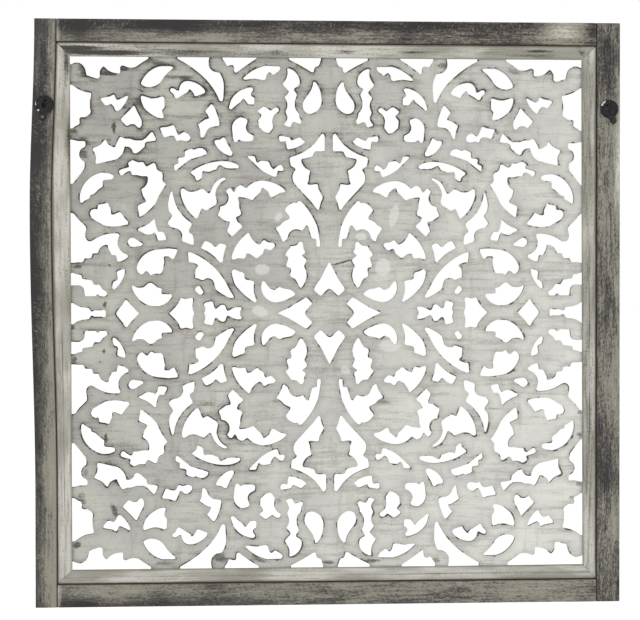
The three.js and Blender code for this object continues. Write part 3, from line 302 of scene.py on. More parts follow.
  [[233, 98.5], [231.8, 96], [236.7, 84.3], [238.8, 83], [241, 84], [244.5, 87.3], [251.5, 87.5],
    [252.8, 86], [251.6, 79], [254.6, 64.5], [257, 60.8], [267, 61], [271.5, 58.3], [274, 59.3],
    [276.8, 63.8], [279.3, 65.2], [285, 59.8], [288, 59.8], [293, 64.5], [294.2, 70, 0.33], [262, 98],
    [246, 99.7]],
  [[146, 25], [148, 22.9], [152.5, 23.7, 0.07], [174, 36.8], [176.8, 48.2, -0.43], [190, 53], [192.5, 51],
    [196, 51.2], [199.5, 53.2], [205.2, 54.5], [205, 64], [204, 69], [199.8, 72.5], [200.8, 74.7],
    [207.5, 77.8], [214.7, 78.5], [215.3, 86], [216.3, 92.3], [215, 93.9], [212, 93.7, 0.2], [154.4, 39]],
  [[45, 110.4], [42, 110.2], [40, 108], [39.3, 99], [36.7, 95], [37.8, 92], [42, 89.2], [41.5, 87.6],
    [35.5, 83.6], [34.6, 80], [39, 72.8], [35.8, 65.5], [34.6, 57.5], [36.5, 49.5], [41.5, 40.2],
    [43.5, 38.9], [46, 39.6], [49.5, 47.5], [53, 53], [59.5, 56.2], [60.5, 58.5], [58.6, 66],
    [59.3, 69.6], [65.5, 71.2], [66.1, 74.5], [63.1, 83.5], [63.6, 86.3], [67.5, 89.2], [67.3, 91.5],
    [61.5, 99], [59.3, 103.3], [52, 103.8], [49, 105.5]],
  [[111.3, 18.5], [113, 16.4], [116, 17.5, 0.1], [144.4, 44, 0.07], [149.4, 63], [148.3, 66.3],
    [145.5, 67.6], [137.5, 64], [131.5, 62.5], [130, 60.5], [130.2, 54.5], [127.5, 51.5], [117.5, 49.8],
    [115, 48, -0.15], [113.5, 24.5]],
  [[51.8, 29.3], [54, 26.8], [66, 20.5, 0.06], [82, 16.4, 0.42], [104.5, 42], [103.3, 48.8],
    [100, 49.5], [91, 38], [84.5, 35.2], [78, 39.9], [75.5, 40], [70.5, 37.8], [60, 36.2], [54.5, 32.7]],
  [[198, 41.7], [192.6, 33], [192.6, 31], [196, 28.8], [199.3, 28.7], [205.8, 35.5], [204.5, 39.3],
    [201, 42]],
  [[241, 29.3], [240.4, 26, 0.25], [262, 11], [274, 11.8, 0.24], [300.8, 38], [301.5, 42],
    [300.3, 43.4], [294.5, 39.8], [289, 39.2], [283.5, 40], [276.5, 46.2], [272.5, 47.1], [268.5, 45.3],
    [263, 40.2], [255.7, 37.7], [256.8, 31.5], [254.8, 29.5]],
  [[313.5, 68.3], [311.3, 66.5], [311.6, 62, 0.16], [327, 37.2], [328.5, 36.7], [331.2, 38.5],
    [330.5, 45], [328.8, 48.9], [323.5, 51], [322.6, 54], [324.1, 62], [323.3, 64.9]],
  [[E, 61.5], [390, 62.3], [383, 59.6], [377.5, 59.3], [376.5, 57.5], [376.2, 53.5], [374.5, 52.6],
    [361.5, 50.8], [358, 43.7], [351, 44.4], [349, 43], [345, 36.8], [339, 33], [338.2, 30.5],
    [340.5, 26.4], [349.8, 26.4], [353.2, 30], [356, 26.4], [372.6, 26.6], [373.8, 37, -0.35],
    [384, 43.4], [E, 42.8]],
)
# Halves of the cut-outs that the middle lines cut through
ON_UPRIGHT_LINE = (
  [[0, 37.8], [3, 36.5], [12.5, 26.9], [14.8, 26.8], [23.3, 34.7], [23.8, 38.3], [13, 54], [6, 68.5],
    [0, 79.8]],
)
ON_LEVEL_LINE = (
  [[79.8, 0], [62, 8.3], [38.5, 22.8], [35.8, 24], [33.5, 22.8], [26.4, 15], [26.6, 13.8], [36, 3.8],
    [37.5, 0]],
  [[191.7, 0], [189.8, 5], [190, 8.5], [192.3, 13.3], [190.5, 16.2], [181, 18.5], [178.3, 17.7],
    [176.3, 9.3], [174.7, 6.6], [173, 6.8], [166.5, 12.7], [162, 13.2], [159.6, 11.5], [157.5, 5],
    [155.5, 3.4], [147, 8], [140.5, 9.6], [135.3, 9.3], [134.2, 7], [137, 2.5], [136.6, 0]],
  [[245, 0], [236, 8.8], [230.5, 16], [228, 22.8], [225.5, 23.6], [219.5, 21.7], [212, 23.9],
    [208, 22.5], [209.5, 14], [209.3, 7.5], [206.8, 0]],
  [[325.3, 0], [323.5, 4], [315.5, 13.8], [312, 20.3], [310, 21.3], [308, 20], [302, 12.2],
    [290.3, 0]],
  [[E, 0], [E, 16], [390.5, 16.5], [384.5, 12.4], [378, 9.8], [366, 8.5], [362.8, 3], [361, 3],
    [358.5, 4.8], [347, 4.7], [344.5, 5.8], [341.7, 5.4], [340.3, 3], [340.6, 0]],
)

# How far apart the grain of two pieces is taken, so that no two show the same figure
RUN_STEP = 700.0

# Tones of the finishes, 0 to 255: the board paint at two corners, the frame's wash, the beads' paint, steel, floor
BOARD_TONES = {"upper left": (158, 157, 149), "lower right": (211, 211, 204)}
WASH_TONES = {"thick": (34, 30, 30), "rubbed": (136, 133, 119)}
BEAD_TONES = {"dull": (146, 144, 133), "pale": (192, 190, 180)}
STEEL_TONE = (30, 27, 30)
FLOOR_TONE = (231, 231, 231)

# Smudges on the board: middle x and z, half length, half width, turn in degrees, strength (below zero is pale)
SMUDGES = (
    (-329, 284, 4, 12, 0, 1.0),
    (-336, 265, 6, 4, 0, 0.6),
    (-337, 366, 15, 3.2, 0, 1.1),
    (-312, 373, 8, 3, 0, 0.8),
    (-288, 341, 7, 1.2, -22, 0.9),
    (-296, 325, 14, 8, 0, 0.5),
    (-230, 362, 26, 4, 0, 0.7),
    (-262, 384, 24, 6, -18, 0.6),
    (-381, 365, 10, 15, 0, 0.45),
    (-388, 277, 8, 5, 0, 0.7),
    (-374, 243, 6, 8, 0, 0.6),
    (-339, -236, 2.4, 2.4, 0, 1.0),
    (-342, -190, 3, 10, 0, 0.9),
    (-308, -202, 30, 5, 0, 0.5),
    (-329, -303, 6, 16, 20, 0.8),
    (-311, -273, 12, 4, 0, 0.4),
    (-379, -284, 9, 15, 0, 0.55),
    (-386, -354, 8, 7, 20, 0.9),
    (-372, -243, 5, 8, 0, 0.6),
    (-254, -385, 22, 5, 0, 0.6),
    (-167, -376, 12, 9, 0, 0.75),
    (-258, -257, 22, 4, 0, 0.4),
    (-183, -140, 30, 4, 0, 0.5),
    (-210, -368, 45, 5, 0, 0.35),
    (209, -75, 4, 6, 0, 0.6),
    (195, -90, 7, 3, -20, 0.5),
    (289, -90, 4, 3, 0, 0.7),
    (257, -149, 14, 2.5, 0, 0.5),
    (330, -222, 25, 4, 0, 0.4),
    (391, -155, 4, 5, 0, 0.7),
    (391, -190, 5, 6, 0, 0.8),
    (390, -266, 6, 5, 0, 0.6),
    (378, -288, 5, 4, -30, 0.6),
    (343, -97, 10, 5, 0, 0.4),
    (176, 382, 12, 8, 0, 0.7),
    (286, 374, 16, 6, -22, 0.6),
    (262, 279, 4, 5, 0, 0.5),
    (222, 242, 4, 4, 0, 0.5),
    (20, 78, 17, 1.9, 14, 1.7),
    (-336, 74, 2.2, 2.2, 0, 1.2),
    (-337, 131, 2.5, 1.6, 0, 1.0),
    (-343, 14, 3.5, 6, 0, 0.9),
    (-345, -58, 2.6, 5, 0, 1.1),
    (-350, -75, 2.5, 3, 0, 0.6),
    (-384, 71, 9, 4, 0, 0.8),
    (-392, -21, 4, 6, 30, 0.8),
    (-389, -70, 4, 7, 0, 0.7),
    (-1, -385, 12, 4, 0, 0.9),
    (66, -383, 18, 3.5, 0, 0.9),
    (-107, -380, 16, 4, -20, 0.7),
    (82, -138, 22, 4, 0, 0.5),
    (166, -383, 8, 5, 0, 0.7),
    (-77, -290, 6, 8, 0, 0.45),
    (-102, 67, 14, 10, 0, -1.0),
    (-106, 3, 15, 9, -20, -1.0),
    (101, 150, 8, 22, -14, -1.0),
    (84, 71, 14, 17, -8, -1.0),
    (50, 118, 11, 8, 0, -0.8),
    (26, -88, 10, 7, -30, -0.8),
    (-77, 148, 6, 10, -30, -0.7),
    (94, -51, 24, 13, 0, -0.7),
)

# Painted highlights: bright spots where the light catches the rims of the keyhole plates, in the same order
PAINTED_RIM_HIGHLIGHTS = (
    (-446.0, 321.0, 1.6, 5.5, 8, 0.9),
    (-442.0, 309.0, 2.0, 2.0, 0, 0.7),
    (425.5, 325.5, 1.6, 8.0, -40, 1.1),
)

# Stains on the members and beads: along and across the piece, half length, half width, turn, strength. The uprights
# run upwards and the rails to the right; the top bead runs to the left and the left bead downwards.
STAINS = {
    "Left_stile": (
        (0, 35.6, 900, 1.9, 0, 0.6),
        (90, 31, 190, 8, 0, 0.24),
        (210, 19, 170, 9, 0, 0.14),
        (-30, 19, 130, 10, 0, 0.09),
        (100, 8, 160, 5, 0, 0.1),
        (-260, 32, 150, 7, 0, 0.1),
        (370, 17, 50, 6, 0, 0.28),
        (275, 18, 30, 8, 0, 0.14),
        (-60, 4, 330, 8, 0, -0.15),
        (-320, 12, 150, 13, 0, -0.12),
    ),
    "Right_stile": (
        (375, 14, 50, 18, 0, 0.2),
        (240, 34, 75, 6, 0, -0.5),
        (235, 16, 70, 9, 0, -0.1),
        (-40, 34, 330, 6, 0, -0.16),
        (-228, 12, 42, 12, 0, 0.28),
        (-330, 30, 50, 9, 0, -0.18),
        (-120, 26, 50, 6, 0, -0.2),
        (0, 2, 400, 4, 0, 0.1),
        (0, 31, 430, 8, 0, -0.07),
        (-300, 12, 120, 12, 0, 0.08),
    ),
    "Top_rail": (
        (-250, 26, 170, 9, 0, 0.22),
        (60, 25, 320, 9, 0, 0.14),
        (-385, 14, 35, 24, 0, 0.16),
        (-412.7, 17, 1.8, 30, 0, -0.6),
        (-180, 10, 110, 9, 0, -0.12),
        (190, 3, 150, 6, 0, 0.2),
        (20, 29, 22, 7, 0, 0.2),
        (180, 30, 80, 6, 0, 0.2),
        (365, 24, 28, 15, 0, -0.7),
        (30, 28, 45, 9, 0, -0.2),
        (410, 16, 8, 22, 0, 0.2),
    ),
    "Bottom_rail": (
        (-250, 31, 150, 7, 0, 0.06),
        (-385, 28, 30, 9, 0, 0.14),
        (220, 28, 220, 9, 0, -0.09),
        (-330, 12, 60, 8, 0, -0.12),
        (-412.7, 17, 1.8, 30, 0, -0.7),
        (40, 10, 40, 12, 0, -0.14),
        (-40, 24, 60, 9, 0, -0.12),
        (320, 18, 100, 18, 0, -0.16),
        (185, 26, 20, 9, 0, 0.18),
        (-180, 14, 30, 14, 0, 0.06),
    ),
    "Top_bead": (
        (330, 10, 80, 14, 0, 0.16),
        (372, 8, 30, 2.4, 0, 1.2),
        (345, 15.5, 46, 2.8, 0, 1.1),
        (240, 14, 50, 3, 0, 0.35),
        (150, 16, 90, 4, 0, 0.2),
        (78, 12, 8, 2.5, 0, 0.4),
        (40, 12, 200, 9, 0, 0.1),
        (-28, 11, 13, 1.8, 0, 0.7),
        (-126, 11, 18, 1.6, 0, 0.55),
        (-313, 8, 17, 1.8, 0, 0.9),
        (-318, 15, 30, 3, 0, 0.4),
        (-381, 10, 10, 1.6, -30, 0.8),
    ),
    "Left_bead": (
        (-378, 16, 20, 2.6, 0, 0.5),
        (-365, 15, 35, 7, 0, 0.25),
        (-268, 18.5, 28, 2.4, 0, 0.6),
        (-100, 18, 60, 3, 0, 0.15),
    ),
    "Right_bead": (
        (0, 13, 450, 6, 0, 0.1),
        (-130, 12, 280, 10, 0, 0.08),
        (300, 12, 120, 8, 0, 0.1),
        (-150, 12, 90, 8, 0, 0.1),
    ),
    "Bottom_bead": (
        (180, 11, 120, 8, 0, -0.3),
    ),
}

# How finely and how far the outlines of the marks are torn: cells a metre, and metres along x, y and z
TEAR_CELLS = 190.0
TEAR_REACH = (0.007, 0.0, 0.005)

# Floor height, half size in metres and glow, and lamps: name, place in metres, size in metres, power in watts
FLOOR_Z = -1.0
FLOOR_HALF = 30
FLOOR_GLOW = 0.55
ROOM_LIGHT = 0.58
LAMPS = (("Key light", (-2.2, -3.0, 1.4), 2.0, 45.0), ("Fill light", (2.4, -2.6, 0.2), 2.5, 18.0))

# Camera: place in millimetres from the panel's middle, turns in degrees, focal length in pixels of the photograph
CAMERA_PLACE = (-170.6, -2646.2, 31.1)
CAMERA_TURN = (-3.387, -0.568, 0.046)
CAMERA_FOCUS = 1726.6
IMAGE_WIDTH = 640.0


def fretwork_outlines(step):
    """Every cut-out of the board as a closed anticlockwise outline in millimetres.

    Each drawn edge is an arc whose chord turns evenly: a point at the fraction t of an edge lies at the chord,
    turned back by half of what is left of the arc's angle and shortened to sin(angle t / 2) / sin(angle / 2).
    """
    def arcs(corners):
        start = np.array([c[:2] for c in corners], float)
        bend = np.array([c[2] if len(c) > 2 else 0.0 for c in corners])
        chord = np.roll(start, -1, 0) - start
        angle = 4 * np.arctan(bend)
        length = np.hypot(*chord.T)
        parts = np.maximum(1, np.ceil(length * (1 + bend**2) / step)).astype(int)
        edge = np.repeat(np.arange(len(parts)), parts)
        t = (np.arange(len(edge)) - np.repeat(np.cumsum(parts) - parts, parts)) / parts[edge]
        a = np.where(np.abs(angle[edge]) < 1e-6, 1e-6, angle[edge])
        turn = -a * (1 - t) / 2
        share = np.sin(a * t / 2) / np.sin(a / 2)
        c = chord[edge]
        x = c[:, 0] * np.cos(turn) - c[:, 1] * np.sin(turn)
        z = c[:, 0] * np.sin(turn) + c[:, 1] * np.cos(turn)
        return start[edge] + share[:, None] * np.stack([x, z], 1)

    def both_halves(half, sx, sz):
        return list(half) + [[sx * c[0], sz * c[1]] for c in half[-2:0:-1]]

    quarter = [arcs(c) for c in QUARTER]
    upright = [arcs(both_halves(c, -1, 1)) for c in ON_UPRIGHT_LINE]
    level = [arcs(both_halves(c, 1, -1)) for c in ON_LEVEL_LINE]
    return quarter, upright, level


def sawn(loop, softness, error, least):
    """The outline as a saw leaves it: corners rounded by a bell curve of this width, then points spaced by its bend.

    The loop is taken at even steps along its length as complex numbers, its spectrum is damped by a bell curve,
    and points are kept at equal amounts of root curvature plus a least density, so a chord stands off by the error.
    """
    closed = np.vstack([loop, loop[:1]])
    run = np.r_[0, np.cumsum(np.hypot(*np.diff(closed, axis=0).T))]
    n = max(64, int(run[-1] / SAMPLE_STEP))
    at = np.linspace(0, run[-1], n, endpoint=False)
    z = np.interp(at, run, closed[:, 0]) + 1j * np.interp(at, run, closed[:, 1])
    waves = np.fft.fftfreq(n, run[-1] / n)
    z = np.fft.ifft(np.fft.fft(z) * np.exp(-2 * (np.pi * waves * softness) ** 2))
    rate = (np.roll(z, -1) - np.roll(z, 1)) / 2
    bend = np.imag(np.conj(rate) * (np.roll(z, -1) - 2 * z + np.roll(z, 1))) / np.abs(rate) ** 3
    density = (np.sqrt(np.abs(bend) / (8 * error)) + least) * np.abs(rate)
    total = np.r_[0, np.cumsum(density)]
    count = max(10, int(np.ceil(total[-1])))
    pick = np.interp(np.arange(count) * total[-1] / count, total, np.arange(n + 1))
    ring = np.r_[z, z[:1]]
    low = pick.astype(int)
    kept = ring[low] + (pick - low) * (ring[np.minimum(low + 1, n)] - ring[low])
    return np.stack([kept.real, kept.imag], 1)


def outwards(loop):
    """Unit directions from a cut-out into the wood: right of travel, evened between the two edges of each point."""
    ahead = np.roll(loop, -1, 0) - loop
    ahead /= np.hypot(*ahead.T)[:, None]
    mean = ahead + np.roll(ahead, 1, 0)
    mean /= np.maximum(np.hypot(*mean.T)[:, None], 1e-6)
    return np.stack([mean[:, 1], -mean[:, 0]], 1)


def nearest(points, cloud, chunk=400):
    """Distance from each point to the nearest of a cloud of points, block by block."""
    out = np.empty(len(points))
    for k in range(0, len(points), chunk):
        d = points[k:k + chunk, None] - cloud[None]
        out[k:k + chunk] = np.sqrt((d * d).sum(2).min(1))
    return out


def inside(points, loops):
    """Whether each point is in any of the outlines, by the number of edges that a ray to the right crosses."""
    odd = np.zeros(len(points), bool)
    for loop in loops:
        a, b = loop, np.roll(loop, -1, 0)
        x, z = points[:, :1], points[:, 1:]
        spans = (a[:, 1] > z) != (b[:, 1] > z)
        rise = np.where(b[:, 1] == a[:, 1], 1e-12, b[:, 1] - a[:, 1])
        odd ^= ((x < a[:, 0] + (z - a[:, 1]) * (b[:, 0] - a[:, 0]) / rise) & spans).sum(1) % 2 == 1
    return odd


def mesh_piece(name, points, quads, triangles, material, attributes=(), smooth=35):
    """A mesh object at the origin from points in millimetres, measured from the panel's middle."""
    mesh = bpy.data.meshes.new(name)
    co = np.asarray(points, float) * MM
    co[:, 2] -= ORIGIN_HEIGHT * MM
    quads = np.asarray(quads, int).reshape(-1, 4)
    triangles = np.asarray(triangles, int).reshape(-1, 3)
    flat = np.vstack([triangles, quads[:, :3], quads[:, [0, 2, 3]]])
    a, b, c = co[flat[:, 0]], co[flat[:, 1]], co[flat[:, 2]]
    if (a * np.cross(b, c)).sum() < 0:
        quads, triangles = quads[:, ::-1], triangles[:, ::-1]
    mesh.vertices.add(len(co))
    mesh.vertices.foreach_set("co", co.ravel())
    loops = np.r_[quads.ravel(), triangles.ravel()]
    mesh.loops.add(len(loops))
    mesh.loops.foreach_set("vertex_index", loops)
    mesh.polygons.add(len(quads) + len(triangles))
    starts = np.r_[np.arange(len(quads)) * 4, len(quads) * 4 + np.arange(len(triangles)) * 3]
    mesh.polygons.foreach_set("loop_start", starts)
    mesh.update(calc_edges=True)
    mesh.validate(verbose=False)
    for key, values in attributes:
        kind, slot = ("FLOAT_VECTOR", "vector") if np.ndim(values) == 2 else ("FLOAT", "value")
        mesh.attributes.new(key, kind, "POINT").data.foreach_set(slot, np.asarray(values, np.float32).ravel())
    mesh.polygons.foreach_set("use_smooth", np.ones(len(mesh.polygons), bool))
    mesh.set_sharp_from_angle(angle=math.radians(smooth))
    mesh.materials.append(material)
    piece = bpy.data.objects.new(name, mesh)
    bpy.context.scene.collection.objects.link(piece)
    return piece


def sleeve(rows):
    """Quads between consecutive closed rows of equally many points, numbered row by row."""
    m, n = rows
    i, j = np.meshgrid(np.arange(m - 1), np.arange(n), indexing="ij")
    a = i * n + j
    b = i * n + (j + 1) % n
    return np.stack([a, b, b + n, a + n], -1).reshape(-1, 4)


def filled(points, loops):
    """Triangles between closed loops of numbered points, through the loose points: the first loop is the rim."""
    edges = np.vstack([np.stack([loop, np.roll(loop, -1)], 1) for loop in loops])
    flat = [Vector(p) for p in np.asarray(points, float).tolist()]
    _, _, faces, origin, _, _ = delaunay_2d_cdt(flat, edges.tolist(), [], 1, 1e-5)
    if any(not o for o in origin):
        raise RuntimeError("two outlines cross")
    source = np.array([o[0] for o in origin])
    faces = source[np.array([f for f in faces if len(f) == 3])]
    owner = np.full(len(points), -1)
    for k, loop in enumerate(loops[1:]):
        owner[loop] = k
    same = (owner[faces[:, 0]] >= 0) & (owner[faces[:, 0]] == owner[faces[:, 1]])
    same &= owner[faces[:, 0]] == owner[faces[:, 2]]
    drop = np.zeros(len(faces), bool)
    middle = np.asarray(points)[faces].mean(1)
    for k, loop in enumerate(loops[1:]):
        mine = np.flatnonzero(same & (owner[faces[:, 0]] == k))
        if len(mine):
            drop[mine] = inside(middle[mine], [np.asarray(points)[loop]])
    return faces[~drop]


def bar(name, section, stations, place, material, seam=RABBET_HALF):
    """A piece with one profile carried along a line and closed at both ends.

    The section (across, depth) is rounded as the outlines are and placed at every station; over the last
    millimetre its corners draw in as a quarter round does.
    """
    ring = sawn(np.asarray(section, float), MEMBER_SOFTNESS, *MEMBER_FINENESS)
    middle = (ring.min(0) + ring.max(0)) / 2
    ends = np.array(END_STEPS)
    low, high = stations[0], stations[-1]
    between = (stations > low + END_CLEAR) & (stations < high - END_CLEAR)
    along = np.r_[low + ends, stations[between], high - ends[::-1]]
    left = np.minimum(np.minimum(along - low, high - along), 1.0)
    shrink = 1.0 - np.sqrt(np.maximum(0, 1 - (1 - left) ** 2))
    pull = np.clip((ring - middle)[None] / END_WIDTH, -1, 1) * shrink[:, None, None] * END_PULL
    rows = ring[None] - pull
    across, depth = rows[..., 0], rows[..., 1]
    points = np.stack(place(across, depth, np.broadcast_to(along[:, None], across.shape)), -1)
    m, n = across.shape
    quads = sleeve((m, n))
    cap = filled(ring, [np.arange(n)])
    triangles = np.vstack([cap[:, ::-1], cap + (m - 1) * n])
    run = np.stack([across - seam, depth, np.broadcast_to(along[:, None], across.shape)], -1)
    run = run.reshape(-1, 3)
    soil = smudges(run[:, [2, 0]], STAINS[name])
    run[:, 2] += RUN_STEP * len(name)
    points = points.reshape(-1, 3)
    return mesh_piece(name, points, quads, triangles, material, (("run", run), ("smudge", soil)))


def bow(height):
    """How far the left member stands out at a height: a squared cosine about the height of its bow."""
    rise = height - BOW_HEIGHT
    part = rise / np.where(rise > 0, BOW_REACH_UP, BOW_REACH_DOWN)
    return np.where(np.abs(part) < 1, BOW * np.cos(part * math.pi / 2) ** 2, 0.0)


def pocket(x, y, z, side):
    """Sinks the wall face behind a plate: a round pit with a steep wall, where the depth is near the wall face."""
    px, pz, _ = PLATES[side]
    near = np.clip((POCKET_RADIUS - np.hypot(x - px, z - pz)) / POCKET_WALL, 0, 1)
    return y + POCKET_DEPTH * near * (y < 1.0)


def fretwork_board(name, material):
    """The sawn board: front and back faces filled between the outlines, joined by the sawn walls.

    Each outline makes four rings: the face, eased back from the arris, the arris itself and the same two at the
    back. Loose points at even steps between the outlines carry what the paint reads: the distance to the nearest
    sawn edge and how much of the wood around is cut away.
    """
    sizes = bpy.context.scene.wall_panel_sizes
    ease, softness = sizes.arris_ease / MM, sizes.saw_softness / MM
    quarter, upright, level = ([sawn(loop, softness, *BOARD_FINENESS) for loop in group]
                               for group in fretwork_outlines(DRAWN_STEP))
    near = quarter + upright + level
    fine = np.vstack([np.vstack([loop + (np.roll(loop, -1, 0) - loop) * t for t in (0, 0.25, 0.5, 0.75)])
                      for loop in near])

    # Loose points of one quarter, kept where they stand clear of every edge
    first = np.vstack([loop + RINGS[0] * outwards(loop) for loop in near])
    second = np.vstack([(loop + RINGS[1] * outwards(loop))[::2] for loop in near])
    step = GRID_STEP
    gx, gz = np.meshgrid(np.arange(step / 2, LOOSE_HALF, step), np.arange(step / 2, LOOSE_HALF, step * 0.866),
                         indexing="ij")
    gx = gx + (np.arange(gz.shape[1]) % 2) * step / 2
    grid = np.stack([gx.ravel(), gz.ravel()], 1)
    loose, gaps = [], []
    for cloud, least in zip((first, second, grid), LOOSE_LEAST):
        cloud = cloud[((cloud > LINE_CLEAR) & (cloud < LOOSE_HALF)).all(1)]
        cloud = cloud[~inside(cloud, near)]
        far = nearest(cloud, fine)
        loose.append(cloud[far > least])
        gaps.append(far[far > least])
    loose, gaps = np.vstack(loose), np.concatenate(gaps)

    # Open share around a point: a bell curve over the cut-away part of the board
    over = np.arange(*OPEN_ENDS, OPEN_STEP)
    ox, oz = np.meshgrid(over, over, indexing="ij")
    open_at = np.stack([ox.ravel(), oz.ravel()], 1)
    open_at = open_at[inside(np.abs(open_at), near)]

    def open_share(points, chunk=800):
        points = np.abs(points)
        share = np.empty(len(points))
        for k in range(0, len(points), chunk):
            d = points[k:k + chunk, None] - open_at[None]
            share[k:k + chunk] = np.exp(-(d * d).sum(2) / (2 * OPEN_SPREAD**2)).sum(1)
        return share * OPEN_STEP**2 / (2 * math.pi * OPEN_SPREAD**2)

    signs = [(1, 1), (-1, 1), (-1, -1), (1, -1)]
    mirror = lambda loop, sx, sz: (loop * (sx, sz))[::sx * sz]
    groups = [(quarter, signs), (upright, [(1, 1), (1, -1)]), (level, [(1, 1), (-1, 1)])]
    loops = [mirror(loop, *s) for group, ways in groups for s in ways for loop in group]
    stems = [open_share(loop) for group, _ in groups for loop in group]
    count = np.cumsum([0] + [len(group) for group, _ in groups])
    stem = np.concatenate([stems[count[g] + i][::s[0] * s[1]] for g, (group, ways) in enumerate(groups)
                           for s in ways for i in range(len(group))])
    outer = BOARD_HALF * np.array([[-1, -1], [1, -1], [1, 1], [-1, 1]], float)

    rim = np.vstack(loops)
    face = np.vstack([loop + ease * outwards(loop) for loop in loops])
    inner = np.vstack([loose * s for s in signs])
    n, k = len(rim), len(outer)
    first_of = np.cumsum([0] + [len(loop) for loop in loops])
    rings = [np.arange(k)] + [k + np.arange(a, b) for a, b in zip(first_of[:-1], first_of[1:])]
    front = filled(np.vstack([outer, face, inner]), rings)
    back = filled(np.vstack([outer, face]), rings)

    y0, y1 = BOARD_Y
    layers = [(outer, y0), (face, y0), (inner, y0), (rim, y0 + ease), (rim, y1 - ease), (face, y1),
              (outer, y1)]
    base = np.cumsum([0] + [len(p) for p, _ in layers])
    points = np.vstack([np.column_stack([p[:, 0], np.full(len(p), y), p[:, 1]]) for p, y in layers])
    number = np.arange(n)
    after = np.concatenate([np.roll(np.arange(a, b), -1) for a, b in zip(first_of[:-1], first_of[1:])])
    quads = [np.stack([base[i] + number, base[i] + after, base[j] + after, base[j] + number], 1)
             for i, j in ((1, 3), (3, 4), (4, 5))]
    edge = np.arange(k)
    ahead = (edge + 1) % k
    quads.append(np.stack([base[0] + edge, base[6] + edge, base[6] + ahead, base[0] + ahead], 1))
    back = np.where(back < k, base[6] + back, base[5] + back - k)[:, ::-1]

    edge_gap = np.concatenate([np.full(k, RIM_GAP), np.full(n, ease), np.tile(gaps, 4), np.zeros(2 * n),
                               np.full(n + k, RIM_GAP)])
    inner_stem = np.tile(open_share(loose), 4)
    stem_all = np.concatenate([np.zeros(k), stem, inner_stem, stem, stem, stem, np.zeros(k)])
    points[:, 0] *= WIDEN
    points[k:-k] = drifted(points[k:-k])
    return mesh_piece(name, points, np.vstack(quads), np.vstack([front, back]), material,
                      (("edge_gap", edge_gap), ("open_share", stem_all)))


def drifted(points):
    """The sawn pattern as it lies on the board: each point moves by a polynomial of second degree in its place."""
    x, z = points[:, 0] / E, points[:, 2] / E
    terms = np.stack([np.ones_like(x), x, z, x * x, x * z, z * z], 1)
    return points + np.stack([terms @ DRIFT_X, np.zeros_like(x), terms @ DRIFT_Z], 1)


def smudges(points, marks):
    """Dark (above zero) and pale (below zero) marks: the sum of bell curves, longer than wide and turned."""
    total = np.zeros(len(points))
    for x, z, long_half, wide_half, turn, strength in marks:
        c, s = math.cos(math.radians(turn)), math.sin(math.radians(turn))
        dx, dz = points[:, 0] - x, points[:, 1] - z
        u, v = (dx * c + dz * s) / long_half, (dz * c - dx * s) / wide_half
        total += strength * np.exp(-(u * u + v * v) * 0.7)
    return total


def stile(name, side, material):
    """An upright member: an L section carried up the panel. The left one leans out by its bow."""
    outer_half = LEFT_OUTER_HALF if side == "left" else RIGHT_OUTER_HALF
    sign = -1 if side == "left" else 1
    seam, lip = RABBET_HALF * WIDEN, LIP_HALF * WIDEN
    section = [(seam, 0), (outer_half, 0), (outer_half, FRAME_DEPTH), (lip, FRAME_DEPTH), (lip, LIP_Y),
               (seam, LIP_Y)]
    plate_z = PLATES[side][1]
    close = np.linspace(plate_z - POCKET_SPAN, plate_z + POCKET_SPAN, 2 * POCKET_SPAN + 1)
    coarse = np.linspace(-FRAME_HALF, FRAME_HALF, STILE_STATIONS)
    stations = np.sort(np.r_[coarse[np.abs(coarse - plate_z) > POCKET_SPAN + 1], close])

    def place(across, depth, along):
        x = sign * (across + (bow(along) if side == "left" else 0))
        return x, pocket(x, depth, along, side), along
    return bar(name, section, stations, place, material, seam)


def rail(name, sign, material):
    """A level member between the uprights: an L section whose wall part reaches over their lips."""
    half = RABBET_HALF * WIDEN - GAP
    section = [(RABBET_HALF, 0), (FRAME_HALF, 0), (FRAME_HALF, FRAME_DEPTH), (LIP_HALF, FRAME_DEPTH),
               (LIP_HALF, LIP_Y), (RABBET_HALF, LIP_Y)]
    stations = np.linspace(-half, half, RAIL_STATIONS)

    def place(across, depth, along):
        reach = np.where(depth < LIP_Y - 0.01, half, LIP_HALF * WIDEN - GAP)
        return along * reach / half, depth, sign * across
    return bar(name, section, stations, place, material)


def bead(name, side, material):
    """One bead with mitred ends: its section is carried along the side, and each line of it ends at the mitre.

    The outer flat runs to a soft groove, and the inner part is lower and eased towards the opening.
    """
    top, foot = BEAD_Y
    outer = RABBET_HALF - GAP
    width = outer - OPENING_HALF
    section = [(0, foot), (0, top), *((at, top + sunk) for at, sunk in BEAD_GROOVE),
               *((width - at, top + sunk) for at, sunk in BEAD_ARRIS), (width, foot)]
    stations = np.linspace(-1, 1, BEAD_STATIONS)
    turn = {"right": 0, "top": 1, "left": 2, "bottom": 3}[side]

    def place(inward, depth, along):
        z = along * (outer - inward - GAP)
        swell = bow(-z) * (1 - inward / width) if side == "left" else 0
        x = outer - inward + swell
        x, depth, z = ((x, depth, z), (-z, depth, x), (-x, depth, -z), (z, depth, -x))[turn]
        return x * WIDEN + LEAN * z / E * inward / width, depth, z
    return bead_bar(name, section, stations, place, material)


